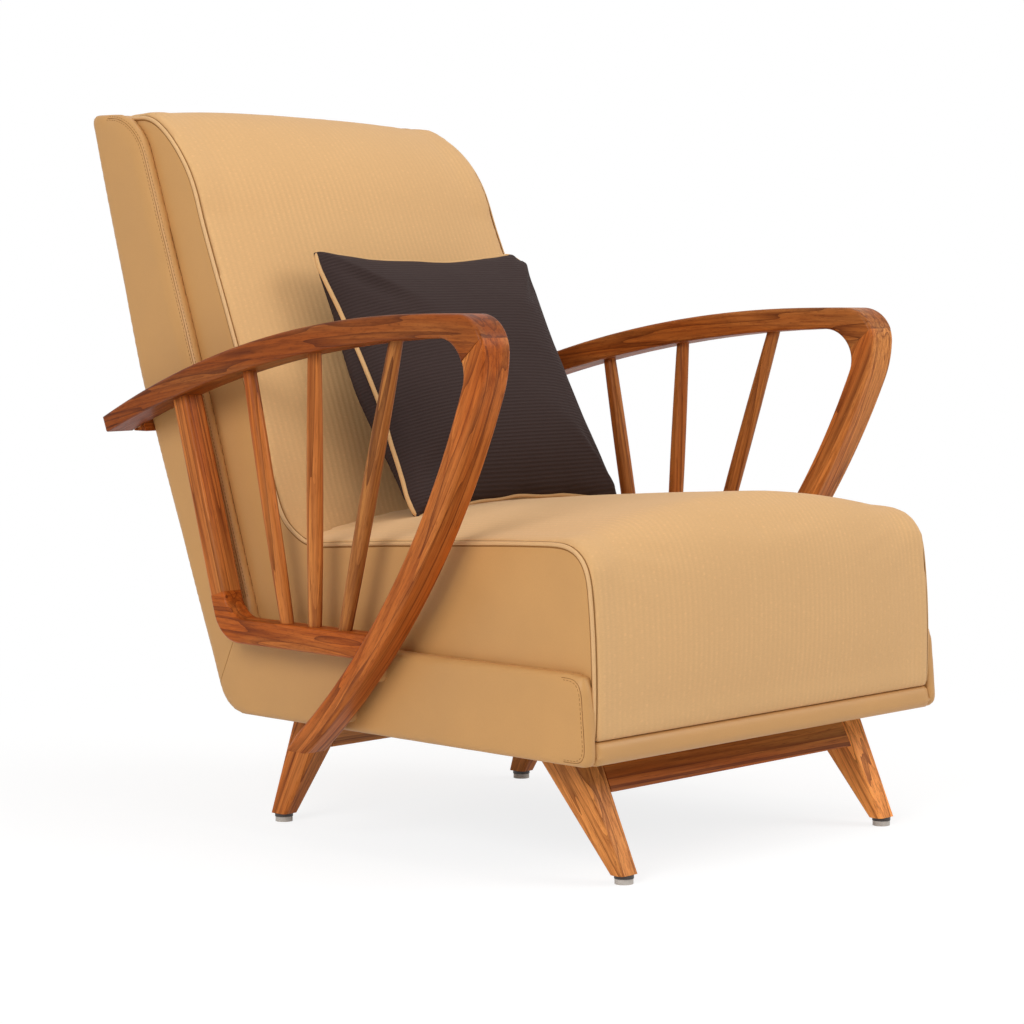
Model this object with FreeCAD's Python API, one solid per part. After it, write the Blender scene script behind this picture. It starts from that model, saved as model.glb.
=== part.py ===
import FreeCAD, Part
import math
import os

Vector = FreeCAD.Vector

# Lounge chair in millimetres: X to the sitter's left and right, front toward -Y, floor at Z = 0.
LEFT = -1
RIGHT = 1
SIDES = {"left": LEFT, "right": RIGHT}

# Plan: every side face closes in toward the rear at one rate
side_taper = 0.0725
width_datum = -290.0
pad_half = 303.0
pad_play = 0.5
tub_wall = 17.0
arm_stand_off = 10.5

# Heights of the base and the tub, each above the level named first
base_height = 135.0
tray_height = 98.0
bend_rise = 388.0
crest_rise = 710.0
frame_rise = 2.0
frame_height = 76.0

# Tub in side view
tub_front = -296.0
tub_front_lean = 4.0
tub_length = 599.0
bend_back = 159.0
crest_back = 256.0
nook_inset = 53.0
waist_depth = 112.0
crest_depth = 89.0
tub_skin = 14.0
crest_cap = 45.0
crest_cap_drop = 50.0
lip_height = 26.0
lip_depth = 26.0
heel_round = 48.0
nook_round = 40.0
crest_front_round = 70.0
crest_rear_round = 9.0
crest_cap_round = 12.0
bend_round = 600.0
tub_corner_round = 26.0
tub_toe_round = 12.0
tub_edge_round = 6.0
lip_round = 8.0

# Seat pad and back pad
pad_gap = 0.3
seat_front_rise = 235.0
seat_rear_rise = 206.0
seat_nose_round = 45.0
seat_crown = 36.0
seat_front_bulge = 8.0
seat_nose_depth = 27.0
back_slope = 0.42
back_pad_depth = 88.0
back_crown = 22.0
back_top_crown = 13.0
back_edge_bow = 1.0
back_pad_top = 705.0
back_brow_drop = 118.0
back_brow_run = 103.0
crown_stations = (-1.0, -0.55, 0.0, 0.55, 1.0)

# Seat and back frame inside the tub
rail_wood = 25.0
bearer_height = 25.0
block_leg = 55.0
block_height = 40.0
top_rail_height = 60.0
lumbar_height = 70.0
strap_width = 50.0
strap_thick = 2.0
seat_straps = 6
back_straps = 7
cover_thick = 1.0
cover_inset = 4.0

# Arm frames
arm_width = 45.5
arm_rise = 473.5
arm_set_back = 99.5
arm_depth = 24.5
arm_flat = 35.0
arm_corner_round = 40.0
arm_edge_round = 4.0
underside_fall = 1.5
brace_shoulder = 46.5
brace_lean = 21.1
brace_width = 27.0
brace_foot_run = 303.5
brace_foot_drop = 23.0
brace_foot_thick = 33.0
brace_heel_trim = 6.0
joint_front_drop = 22.5
joint_back_drop = 56.5
dowel_radius = 5.0
dowel_length = 36.0

# Rear post, lower rail and spindles of an arm frame
post_wood = 30.0
post_depth = 26.0
post_head_run = 534.5
post_foot_run = 466.0
post_foot_rise = 146.0
post_round = 5.0
lower_rail_rise = 91.0
lower_rail_height = 28.5
heel_bend_round = 45.0
heel_nook_round = 34.0
tenon_radius = 7.0
tenon_length = 14.0
tenon_play = 0.1
spindle_radius = 9.5
spindle_end_radius = 7.6
spindle_tenon_radius = 6.0
spindle_feet = (253.5, 305.5, 354.5)
spindle_heads = (157.5, 294.5, 409.5)

# Rear cross rail
cross_rise = 328.0
cross_height = 18.0
cross_depth = 24.0
cross_play = 0.4
cross_round = 3.0
cross_screws = 3
cross_screw_pitch = 150.0
screw_radius = 2.5
screw_head_radius = 4.5
screw_head_depth = 4.0
screw_length = 58.0
drill_tolerance = 0.0001

# Base: splayed legs in two trestles
glide_height = 10.0
glide_pad_height = 6.0
glide_radius = 10.8
glide_pad_radius = 10.2
glide_stem_radius = 2.5
glide_stem_length = 9.0
leg_round = 5.0
leg_inset = 77.0
front_leg_back = 100.0
front_leg_kick = 81.5
front_leg_splay = -1.0
front_foot_size = (29.0, 19.0)
front_head_size = (40.0, 62.0)
rear_leg_forward = 91.5
rear_leg_kick = 62.0
rear_leg_splay = 4.5
rear_foot_size = (23.0, 25.0)
rear_head_size = (36.0, 57.0)
base_rail_height = 43.0
base_rail_depth = 26.0
base_rail_inset = 1.5
base_tenon_depth = 12.0
base_tenon_height = 22.0

# Fasteners
bolt_radius = 4.0
bolt_play = 0.15
bolt_head_radius = 7.0
bolt_head_height = 5.0
bolt_bite = 24.0
bolt_heights = (73.0, 23.0)
spacer_radius = 11.0
stud_bite = 34.0
nut_across = 13.0
nut_height = 6.5

# Scatter cushion
cushion_side = 342.0
cushion_thick = 120.0
cushion_pull = 16.0
cushion_recline = 28.8
cushion_turn = -3.0
cushion_off_centre = 22.0
cushion_gap = 0.4
cushion_levels = ((0.0, 1.0, 1.0), (0.42, 0.87, 0.45), (0.8, 0.61, -0.2), (1.0, 0.26, -0.4))

# Planes and levels that follow from the sizes above
tub_inner = pad_half + pad_play
tub_outer = tub_inner + tub_wall
arm_inner = tub_outer + arm_stand_off
arm_outer = arm_inner + arm_width
frame_inner = tub_inner - rail_wood
tray_top = base_height + tray_height
frame_bottom = base_height + frame_rise
frame_top = frame_bottom + frame_height
cover_bottom = frame_bottom - cover_thick
deck = frame_top + strap_thick + pad_gap
tub_heel = tub_front + tub_length
bend_y = tub_heel + bend_back
bend_z = base_height + bend_rise
crest_y = tub_heel + crest_back
crest_z = base_height + crest_rise
nook_y = tub_heel - nook_inset
waist_y = bend_y - waist_depth
crest_front_y = crest_y - crest_depth
arm_top = base_height + arm_rise
arm_front = tub_front + arm_set_back
lower_rail_bottom = base_height + lower_rail_rise
lower_rail_top = lower_rail_bottom + lower_rail_height
cross_bottom = base_height + cross_rise
cross_top = cross_bottom + cross_height
lip_back = tub_front + lip_depth
heel_corner = (math.pi / 2 + math.atan(bend_back / bend_rise)) / 2
frame_rear = tub_heel - heel_round / math.tan(heel_corner) - frame_rise
stile_top = crest_z - crest_cap_drop
cap_front = crest_y - crest_cap


def half_at(half, y):
    """Half width at y of the side plane that is `half` wide at the width datum."""
    return half - side_taper * (y - width_datum)


def on_side(side, half):
    """Function that lifts a side view point (y, z) onto a side plane."""
    return lambda y, z: Vector(side * half_at(half, y), y, z)


def outward(side):
    """Unit normal of a side plane, pointing away from the chair."""
    return Vector(side, side_taper, 0).normalize()


def rear_line(z):
    """y of the tub's rear face at height z."""
    if z < bend_z:
        return tub_heel + (z - base_height) * bend_back / bend_rise
    return bend_y + (z - bend_z) * (crest_y - bend_y) / (crest_z - bend_z)


def front_line(z):
    """y of the front edge of the tub's back at height z."""
    if z < bend_z:
        return nook_y + (z - tray_top) * (waist_y - nook_y) / (bend_z - tray_top)
    return waist_y + (z - bend_z) * (crest_front_y - waist_y) / (crest_z - bend_z)


def outline(place, start, *steps):
    """Closed wire of lines to (y, z) and of arcs through a first to a second point."""
    edges = []
    here = start
    for step in steps + (start,):
        if isinstance(step[0], tuple):
            middle, end = step
            edges.append(Part.Arc(place(*here), place(*middle), place(*end)).toShape())
        else:
            end = step
            edges.append(Part.LineSegment(place(*here), place(*end)).toShape())
        here = end
    return Part.Wire(edges)


def corner_points(before, corner, after, radius):
    """First, middle and last point of the tangent arc that rounds a corner."""
    a = Vector(before[0] - corner[0], before[1] - corner[1], 0).normalize()
    b = Vector(after[0] - corner[0], after[1] - corner[1], 0).normalize()
    half_angle = a.getAngle(b) / 2
    reach = radius / math.tan(half_angle)
    middle = (a + b).normalize() * (radius / math.sin(half_angle) - radius)
    first = (corner[0] + a.x * reach, corner[1] + a.y * reach)
    last = (corner[0] + b.x * reach, corner[1] + b.y * reach)
    return first, (corner[0] + middle.x, corner[1] + middle.y), last


def rounded(place, corners):
    """Closed wire through corners (y, z, radius), each rounded by its radius."""
    path = []
    for i, (y, z, radius) in enumerate(corners):
        before = corners[i - 1]
        after = corners[(i + 1) % len(corners)]
        if radius > 0:
            first, middle, last = corner_points(before, (y, z), after, radius)
            path += [first, (middle, last)]
        else:
            path.append((y, z))
    return outline(place, path[0], *path[1:])


def tangent_arc(start, heading, end):
    """Middle point of the arc that leaves start at heading (degrees), and its heading at the end."""
    run = end[0] - start[0]
    rise = end[1] - start[1]
    chord = math.hypot(run, rise)
    turn = math.degrees(math.atan2(rise, run)) - heading
    aim = math.radians(heading + turn / 2)
    reach = chord / (2 * math.cos(math.radians(turn / 2)))
    middle = (start[0] + reach * math.cos(aim), start[1] + reach * math.sin(aim))
    return middle, heading + 2 * turn


def slab(side, half, thick, wire_of):
    """Solid of a side view outline, from a side plane outward."""
    face = Part.Face(wire_of(on_side(side, half)))
    return face.extrude(Vector(side * thick, 0, 0))


def across(half, wire_of):
    """Solid of a side view outline that spans the chair between two side planes."""
    return Part.makeLoft([wire_of(on_side(s, half)) for s in (LEFT, RIGHT)], True, True)


def side_edges(shape, side, half):
    """Edges of a shape that lie on a side plane."""
    found = []
    for edge in shape.Edges:
        points = edge.discretize(5)
        if all(abs(side * p.x - half_at(half, p.y)) < 0.01 for p in points):
            found.append(edge)
    return found


def rod(start, direction, radius, length):
    return Part.makeCylinder(radius, length, start, direction)


def below_line(first, second, reach=2000.0):
    """Block under the line through two side view points, as wide as the chair."""
    run = Vector(0, second[0] - first[0], second[1] - first[1]).normalize()
    down = Vector(0, run.z, -run.y)
    start = Vector(-reach, first[0], first[1]) - run * reach
    corners = [start, start + run * 2 * reach, start + run * 2 * reach + down * reach, start + down * reach]
    face = Part.Face(Part.makePolygon(corners + [start]))
    return face.extrude(Vector(2 * reach, 0, 0))


def settle(piece, support, direction, gap):
    """Moves a piece along a direction until it stands off its support by a gap."""
    for _ in range(12):
        distance = piece.distToShape(support)[0]
        piece.translate(direction * (distance - gap))
    return piece


# Where the legs stand: heads under the tub at an even distance from its sides, feet kicked out
def leg_spot(head_y, kick, splay):
    """Head and foot of a leg on the +X side, as (x, y)."""
    head_x = half_at(tub_outer, head_y) - leg_inset
    return (head_x, head_y), (head_x + splay, head_y + kick)


front_head, front_foot = leg_spot(tub_front + front_leg_back, -front_leg_kick, front_leg_splay)
rear_head, rear_foot = leg_spot(tub_heel - rear_leg_forward, rear_leg_kick, rear_leg_splay)


# Tub: seat sides and back sides parted at the mitre seam, rolled back, front lip
def tub_corners():
    return [
        (tub_front - tub_front_lean, base_height, tub_toe_round),
        (tub_front + tub_front_lean, tray_top, tub_corner_round),
        (nook_y, tray_top, nook_round),
        (waist_y, bend_z, bend_round),
        (crest_front_y, crest_z, crest_front_round),
        (crest_y, crest_z, crest_rear_round),
        (bend_y, bend_z, bend_round),
        (tub_heel, base_height, heel_round),
    ]


def tub_side(side):
    """Seat part and back part of one upholstered tub side."""
    panel = slab(side, tub_inner, tub_wall, lambda place: rounded(place, tub_corners()))
    panel = panel.makeFillet(tub_edge_round, side_edges(panel, side, tub_outer))
    behind = below_line((tub_heel, base_height), (nook_y, tray_top))
    return {"seat_side": panel.cut(behind), "back_side": panel.common(behind)}


def tub_back():
    """Rear cover of the back, from under the heel to the cap along the top."""
    corners = [
        (frame_rear, base_height, 0),
        (tub_heel, base_height, heel_round),
        (bend_y, bend_z, bend_round),
        (crest_y, crest_z, crest_rear_round),
        (cap_front, crest_z, crest_cap_round),
        (cap_front, stile_top, 0),
        (rear_line(stile_top) - tub_skin, stile_top, 0),
        (bend_y - tub_skin, bend_z, bend_round),
        (rear_line(base_height + tub_skin) - tub_skin, base_height + tub_skin, heel_round - tub_skin),
        (frame_rear, base_height + tub_skin, 0),
    ]
    return across(tub_inner, lambda place: rounded(place, corners))


def front_lip():
    top = base_height + lip_height
    corners = [
        (tub_front - tub_front_lean, base_height, lip_round),
        (lip_back, base_height, 0),
        (lip_back, top, 0),
        (tub_front - tub_front_lean / 2, top, lip_round),
    ]
    return across(tub_inner, lambda place: rounded(place, corners))


# Frame inside the tub
def seat_side_rail(side):
    corners = [
        (lip_back, frame_bottom, 0),
        (frame_rear, frame_bottom, 0),
        (frame_rear, frame_bottom + frame_height / 2, 0),
        (rear_line(frame_top) - tub_skin, frame_top, 0),
        (lip_back, frame_top, 0),
    ]
    return slab(side, frame_inner, rail_wood, lambda place: rounded(place, corners))


def frame_board(front, depth, bottom, height):
    """Board across the seat frame, between its side rails."""
    corners = [
        (front, bottom, 0),
        (front + depth, bottom, 0),
        (front + depth, bottom + height, 0),
        (front, bottom + height, 0),
    ]
    return across(frame_inner, lambda place: rounded(place, corners))


def corner_blocks():
    """Glued blocks in the seat frame's four corners."""
    blocks = []
    ends = ((lip_back + rail_wood, 1), (frame_rear - rail_wood, -1))
    bottom = frame_top - block_height
    for side in SIDES.values():
        for y, inward in ends:
            corner = Vector(side * half_at(frame_inner, y), y, bottom)
            far_y = y + inward * block_leg
            along = Vector(side * half_at(frame_inner, far_y), far_y, bottom)
            over = corner - Vector(side * block_leg, 0, 0)
            face = Part.Face(Part.makePolygon([corner, along, over, corner]))
            blocks.append(face.extrude(Vector(0, 0, block_height)))
    return Part.makeCompound(blocks)


def stile(side):
    """Upright of the back frame, from the seat side rail to under the rolled top."""
    corners = [
        (front_line(frame_top) + strap_thick, frame_top, 0),
        (waist_y + strap_thick, bend_z, 0),
        (front_line(stile_top) + strap_thick, stile_top, 0),
        (rear_line(stile_top) - tub_skin, stile_top, 0),
        (bend_y - tub_skin, bend_z, bend_round),
        (rear_line(frame_top) - tub_skin, frame_top, 0),
    ]
    return slab(side, frame_inner, rail_wood, lambda place: rounded(place, corners))


def back_rail(bottom, height):
    """Board between the stiles, against the tub's rear cover."""
    top = bottom + height
    corners = [
        (rear_line(bottom) - tub_skin, bottom, 0),
        (rear_line(top) - tub_skin, top, 0),
        (rear_line(top) - tub_skin - rail_wood, top, 0),
        (rear_line(bottom) - tub_skin - rail_wood, bottom, 0),
    ]
    return across(frame_inner, lambda place: rounded(place, corners))


def seat_webbing():
    """Elastic straps from the front rail to the rear rail of the seat frame."""
    room = 2 * half_at(frame_inner, frame_rear) - rail_wood
    pitch = room / seat_straps
    straps = []
    for i in range(seat_straps):
        x = (i - (seat_straps - 1) / 2) * pitch - strap_width / 2
        start = Vector(x, lip_back + pad_gap, frame_top)
        straps.append(Part.makeBox(strap_width, frame_rear - lip_back - 2 * pad_gap, strap_thick, start))
    return Part.makeCompound(straps)


def back_webbing():
    """Elastic straps across the stiles of the back frame."""
    low = deck + strap_width
    high = stile_top - top_rail_height
    pitch = (high - low) / (back_straps - 1)
    straps = []
    for i in range(back_straps):
        z = low + i * pitch
        levels = [z, z + strap_width]
        if z < bend_z < z + strap_width:
            levels.insert(1, bend_z)
        corners = [(front_line(level), level, 0) for level in levels]
        corners += [(front_line(level) + strap_thick, level, 0) for level in reversed(levels)]
        straps.append(across(tub_inner - pad_play, lambda place: rounded(place, corners)))
    return Part.makeCompound(straps)


def dust_cover():
    corners = [
        (lip_back, cover_bottom, 0),
        (frame_rear - cover_inset, cover_bottom, 0),
        (frame_rear - cover_inset, frame_bottom, 0),
        (lip_back, frame_bottom, 0),
    ]
    return across(tub_inner - cover_inset, lambda place: rounded(place, corners))


# Pads: lofts from side to side through outlines that swell toward the middle
def crowned(wire_at):
    """Solid through the outlines at the crown stations, from the left to the right side plane."""
    wires = []
    for station in crown_stations:
        place = lambda y, z, s=station: Vector(s * half_at(pad_half, y), y, z)
        wires.append(wire_at(place, 1 - station * station))
    return Part.makeLoft(wires, True, False)


def back_front_y(z):
    """y of the back pad's flat front plane, which the seat pad meets."""
    seat_rear = base_height + seat_rear_rise
    corner_y = front_line(seat_rear) - back_pad_depth
    return corner_y + (z - seat_rear) * back_slope


def seat_pad():
    front = tub_front - tub_front_lean / 2
    top_front = base_height + seat_front_rise
    top_rear = base_height + seat_rear_rise
    bottom = base_height + lip_height + pad_gap
    inner = front + seat_nose_depth
    nose = seat_nose_round

    def wire_at(place, swell):
        rise = seat_crown * swell
        bulge = seat_front_bulge * swell
        face_top = (front + 6 - bulge / 2, top_front - nose + rise / 2)
        nose_mid = (front + 6 + nose * 0.29 - bulge / 2, top_front - nose * 0.29 + rise * 0.85)
        nose_end = (front + 6 + nose, top_front + rise)
        rear_top = top_rear + rise * 0.8
        rear = back_front_y(rear_top) - pad_gap
        top_mid = ((nose_end[0] + rear) / 2, (nose_end[1] + rear_top) / 2 + rise * 0.06 + 2)
        front_mid = (front - bulge, (bottom + face_top[1]) / 2)
        return outline(
            place,
            (inner, bottom),
            (front, bottom),
            (front_mid, face_top),
            (nose_mid, nose_end),
            (top_mid, (rear, rear_top)),
            (back_front_y(deck) - pad_gap, deck),
            (inner, deck),
        )

    return crowned(wire_at)


def back_pad():
    top = base_height + back_pad_top
    brow = top - back_brow_drop
    seam = base_height + seat_rear_rise + seat_crown
    lid = stile_top + pad_gap
    slope = math.atan(back_slope)

    def wire_at(place, swell):
        push = back_crown * swell
        lift = back_top_crown * swell
        brow_y = back_front_y(brow)
        front_top = (brow_y - push * math.cos(slope), brow + push * math.sin(slope))
        top_front = (brow_y + back_brow_run, top + lift)
        brow_mid = (brow_y + back_brow_run * 0.4 - push * 0.55, top - back_brow_drop * 0.34 + lift)
        top_rear = (cap_front - pad_gap, top - 2 + lift * 0.5)
        front_low = (back_front_y(seam), seam)
        mid_z = (seam + front_top[1]) / 2
        front_mid = (back_front_y(mid_z) - push * 0.95 - back_edge_bow, mid_z)
        return outline(
            place,
            (front_line(deck) - pad_gap, deck),
            (back_front_y(deck), deck),
            front_low,
            (front_mid, front_top),
            (brow_mid, top_front),
            top_rear,
            (cap_front - pad_gap, lid),
            (front_line(lid) - pad_gap, lid),
            (waist_y - pad_gap, bend_z),
        )

    return crowned(wire_at)


# Arm frames
def arm_points():
    """Points that the arm's outline and the parts under it share, in side view."""
    tip_low = (rear_line(cross_bottom) + cross_play + cross_depth, cross_bottom)
    tip_high = (rear_line(cross_top) + cross_play + cross_depth, cross_top)
    shoulder_run = brace_shoulder * math.tan(math.radians(brace_lean / 2))
    shoulder_z = arm_top - arm_corner_round - brace_shoulder
    shoulder = (arm_front + shoulder_run, shoulder_z)
    foot = (arm_front + brace_foot_run, base_height - brace_foot_drop)
    heading = brace_lean - 90
    front_mid, foot_heading = tangent_arc(shoulder, heading, foot)
    return tip_low, tip_high, shoulder, foot, front_mid, foot_heading


def offset_point(point, heading, distance):
    """Point moved square to a heading, to its left."""
    angle = math.radians(heading + 90)
    return (point[0] + distance * math.cos(angle), point[1] + distance * math.sin(angle))


def underside():
    """Start, middle and end of the arm's underside, and the corner arc before it."""
    tip_low, tip_high, shoulder, foot, front_mid, foot_heading = arm_points()
    inner_start = offset_point(shoulder, brace_lean - 90, brace_width)
    level = arm_top - arm_depth
    climb = level - inner_start[1]
    corner = (inner_start[0] - climb * math.tan(math.radians(brace_lean)), level)
    reach = climb / math.cos(math.radians(brace_lean))
    fall = math.radians(underside_fall)
    start = (corner[0] + reach * math.cos(fall), corner[1] - reach * math.sin(fall))
    bend = (90 - brace_lean - underside_fall) / 2
    radius = reach * math.tan(math.radians(bend))
    nook = corner_points(inner_start, corner, start, radius)[1]
    middle, end_heading = tangent_arc(start, -underside_fall, tip_low)
    return inner_start, nook, start, middle, tip_low


def arm_outline(place):
    """Arm and brace as one hook, from the arm's tip over the front corner to the brace's foot."""
    tip_low, tip_high, shoulder, foot, front_mid, foot_heading = arm_points()
    inner_start, nook, under_start, under_mid, under_end = underside()
    bow_start = (arm_front + arm_corner_round + arm_flat, arm_top)
    bow_mid, bow_heading = tangent_arc(bow_start, 0.0, tip_high)
    corner_mid = arm_corner_round * (1 - math.sqrt(0.5))
    inner_low = offset_point(foot, foot_heading, brace_width)
    inner_mid = offset_point(front_mid, (brace_lean - 90 + foot_heading) / 2, brace_width)
    heel_y = foot[0] + brace_width / math.sin(math.radians(-foot_heading)) - brace_heel_trim
    shoulder_mid = tangent_arc((arm_front, arm_top - arm_corner_round), -90.0, shoulder)[0]
    return outline(
        place,
        tip_high,
        (bow_mid, bow_start),
        (arm_front + arm_corner_round, arm_top),
        ((arm_front + corner_mid, arm_top - corner_mid), (arm_front, arm_top - arm_corner_round)),
        (shoulder_mid, shoulder),
        (front_mid, foot),
        (heel_y, foot[1]),
        inner_low,
        (inner_mid, inner_start),
        (nook, under_start),
        (under_mid, under_end),
    )


def underside_z(y):
    """Height of the arm's underside at y."""
    start, middle, end = underside()[2:]
    curve = Part.Arc(Vector(0, *start), Vector(0, *middle), Vector(0, *end))
    plumb = Part.LineSegment(Vector(0, y, base_height), Vector(0, y, arm_top))
    return curve.toShape().distToShape(plumb.toShape())[1][0][0].z


def raw_arm_and_brace(side):
    """Arm and brace with square edges, parted at their scarf joint."""
    hook = slab(side, arm_inner, arm_width, arm_outline)
    joint_low = (arm_front, arm_top - joint_front_drop)
    joint_high = (arm_front + arm_corner_round, arm_top - joint_back_drop)
    under = below_line(joint_low, joint_high)
    arm = hook.cut(under)
    brace = hook.common(under)
    foot_z = base_height - brace_foot_drop
    lean = (arm_width - brace_foot_thick) / (arm_top - foot_z)
    reach = crest_z
    place = on_side(side, arm_outer)
    low = Vector(side * lean * reach, 0, reach)
    front = place(-reach, arm_top)
    back = place(reach, arm_top)
    points = [front, back, back - low, front - low]
    shaving = Part.Face(Part.makePolygon(points + points[:1])).extrude(Vector(side * reach, 0, 0))
    return arm, brace.cut(shaving)


def arm_joint_dowels(side):
    """Two dowels square to the scarf joint, beside each other across the arm's width."""
    low = Vector(0, arm_front, arm_top - joint_front_drop)
    high = Vector(0, arm_front + arm_corner_round, arm_top - joint_back_drop)
    run = (high - low).normalize()
    square = Vector(0, -run.z, run.y)
    middle = low * 0.45 + high * 0.55
    pins = []
    for share in (0.3, 0.7):
        x = side * (half_at(arm_inner, middle.y) + arm_width * share)
        start = Vector(x, middle.y, middle.z) - square * dowel_length / 2
        pins.append((start, square))
    return pins


def post_line():
    """Head and foot of the rear post's axis in side view, and its direction upward."""
    foot = (arm_front + post_foot_run, base_height + post_foot_rise)
    head_y = arm_front + post_head_run
    head = (head_y, underside_z(head_y))
    up = Vector(0, head[0] - foot[0], head[1] - foot[1]).normalize()
    return head, foot, up


def rear_post(side, arm):
    head, foot, up = post_line()
    wide = Vector(0, up.z, -up.y) * (post_depth / 2)
    over = up * (arm_depth / 2)
    corners = [
        (foot[0] - wide.y, foot[1] - wide.z, 0),
        (foot[0] + wide.y, foot[1] + wide.z, 0),
        (head[0] + wide.y + over.y, head[1] + wide.z + over.z, 0),
        (head[0] - wide.y + over.y, head[1] - wide.z + over.z, 0),
    ]
    post = slab(side, arm_inner, post_wood, lambda place: rounded(place, corners))
    steep = [e for h in (arm_inner, arm_inner + post_wood) for e in side_edges(post, side, h)]
    steep = [e for e in steep if abs(e.tangentAt(e.FirstParameter).z) > 0.7]
    return post.makeFillet(post_round, steep).cut(arm)


def lower_rail(side, brace):
    head, foot, up = post_line()
    wide = Vector(0, up.z, -up.y) * (post_depth / 2)
    front = (foot[0] - wide.y, foot[1] - wide.z)
    back = (foot[0] + wide.y, foot[1] + wide.z)
    lean = up.y / up.z
    inside = brace_middle_y((lower_rail_bottom + lower_rail_top) / 2)
    corners = [
        (front[0], front[1], 0),
        (front[0] - lean * (front[1] - lower_rail_top), lower_rail_top, heel_nook_round),
        (inside, lower_rail_top, 0),
        (inside, lower_rail_bottom, 0),
        (back[0] - lean * (back[1] - lower_rail_bottom), lower_rail_bottom, heel_bend_round),
        (back[0], back[1], 0),
    ]
    rail = slab(side, arm_inner, post_wood, lambda place: rounded(place, corners))
    edges = []
    for half in (arm_inner, arm_inner + post_wood):
        for edge in side_edges(rail, side, half):
            ends = [v.Point for v in edge.Vertexes]
            at_post = all(abs((p - Vector(p.x, *foot)).dot(up)) < 0.5 for p in ends)
            at_brace = all(abs(p.y - inside) < 0.5 for p in ends)
            if not at_post and not at_brace:
                edges.append(edge)
    return rail.makeFillet(arm_edge_round, edges).cut(brace)


def spindle_axes(side):
    """Foot and head points of an arm frame's spindles."""
    rail_plane = on_side(side, arm_inner + post_wood / 2)
    arm_plane = on_side(side, arm_inner + arm_width / 2)
    axes = []
    for foot_run, head_run in zip(spindle_feet, spindle_heads):
        head_y = arm_front + head_run
        foot = rail_plane(arm_front + foot_run, lower_rail_top)
        axes.append((foot, arm_plane(head_y, underside_z(head_y))))
    return axes


def spindle(foot, head, arm, rail):
    """Turned spindle with a gentle swell, its shoulders fitted to the arm and the rail."""
    axis = head - foot
    length = axis.Length
    over = spindle_radius
    profile = Part.Wire([
        Part.LineSegment(Vector(0, 0, -over), Vector(spindle_end_radius, 0, -over)).toShape(),
        Part.Arc(
            Vector(spindle_end_radius, 0, -over),
            Vector(spindle_radius, 0, length / 2),
            Vector(spindle_end_radius, 0, length + over),
        ).toShape(),
        Part.LineSegment(Vector(spindle_end_radius, 0, length + over), Vector(0, 0, length + over)).toShape(),
        Part.LineSegment(Vector(0, 0, length + over), Vector(0, 0, -over)).toShape(),
    ])
    turned = Part.Face(profile).revolve(Vector(0, 0, 0), Vector(0, 0, 1), 360)
    turned.Placement = FreeCAD.Placement(foot, FreeCAD.Rotation(Vector(0, 0, 1), axis))
    body = turned.cut(arm).cut(rail)
    return body.fuse(spindle_tenon(foot, head, spindle_tenon_radius)).removeSplitter()


def spindle_tenon(foot, head, radius):
    """Round core of a spindle that reaches into the arm and the rail."""
    axis = (head - foot).normalize()
    return rod(foot - axis * tenon_length, axis, radius, (head - foot).Length + 2 * tenon_length)


def post_tenon(side, radius):
    """Round tenon at the post's head and the dowel through its foot joint."""
    head, foot, up = post_line()
    place = on_side(side, arm_inner + post_wood / 2)
    top = rod(place(*head) - up * tenon_length, up, radius, 2 * tenon_length)
    low = rod(place(*foot) - up * tenon_length, up, radius, 2 * tenon_length)
    return top, low


def rail_tenon(side, radius):
    """Round tenon of the lower rail's front end, which enters the brace."""
    z = (lower_rail_bottom + lower_rail_top) / 2
    place = on_side(side, arm_inner + post_wood / 2)
    meet = brace_back_y(z)
    back = Vector(-side * side_taper, 1, 0).normalize()
    return rod(place(meet, z) - back * tenon_length, back, radius, 2 * tenon_length)


def brace_back_y(z):
    """y of the brace's rear face at height z."""
    tip_low, tip_high, shoulder, foot, front_mid, foot_heading = arm_points()
    start = underside()[0]
    middle = offset_point(front_mid, (brace_lean - 90 + foot_heading) / 2, brace_width)
    end = offset_point(foot, foot_heading, brace_width)
    curve = Part.Arc(Vector(0, *start), Vector(0, *middle), Vector(0, *end)).toShape()
    level = Part.LineSegment(Vector(0, arm_front - brace_foot_run, z), Vector(0, crest_y, z)).toShape()
    return curve.distToShape(level)[1][0][0].y


def brace_middle_y(z):
    """y of the middle of the brace at height z."""
    tip_low, tip_high, shoulder, foot, front_mid, foot_heading = arm_points()
    curve = Part.Arc(Vector(0, *shoulder), Vector(0, *front_mid), Vector(0, *foot)).toShape()
    level = Part.LineSegment(Vector(0, arm_front - brace_foot_run, z), Vector(0, crest_y, z)).toShape()
    return (curve.distToShape(level)[1][0][0].y + brace_back_y(z)) / 2


def bolt_places(side):
    """Points on the tub's outer side where the arm frame is bolted on."""
    place = on_side(side, tub_outer)
    return [place(brace_middle_y(base_height + rise), base_height + rise) for rise in bolt_heights]


def arm_bolt(point, side, radius, head_radius):
    """Bolt from inside the seat frame into the brace."""
    out = outward(side)
    square = out.dot(Vector(side, 0, 0))
    grip = (rail_wood + tub_wall) * square
    bite = arm_stand_off * square + bolt_bite
    head = rod(point - out * (grip + bolt_head_height), out, head_radius, bolt_head_height)
    return head.fuse(rod(point - out * grip, out, radius, grip + bite))


def arm_spacer(point, side):
    out = outward(side)
    length = arm_stand_off * out.dot(Vector(side, 0, 0))
    disc = rod(point, out, spacer_radius, length)
    return disc.cut(rod(point, out, bolt_radius + bolt_play, length))


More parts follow.
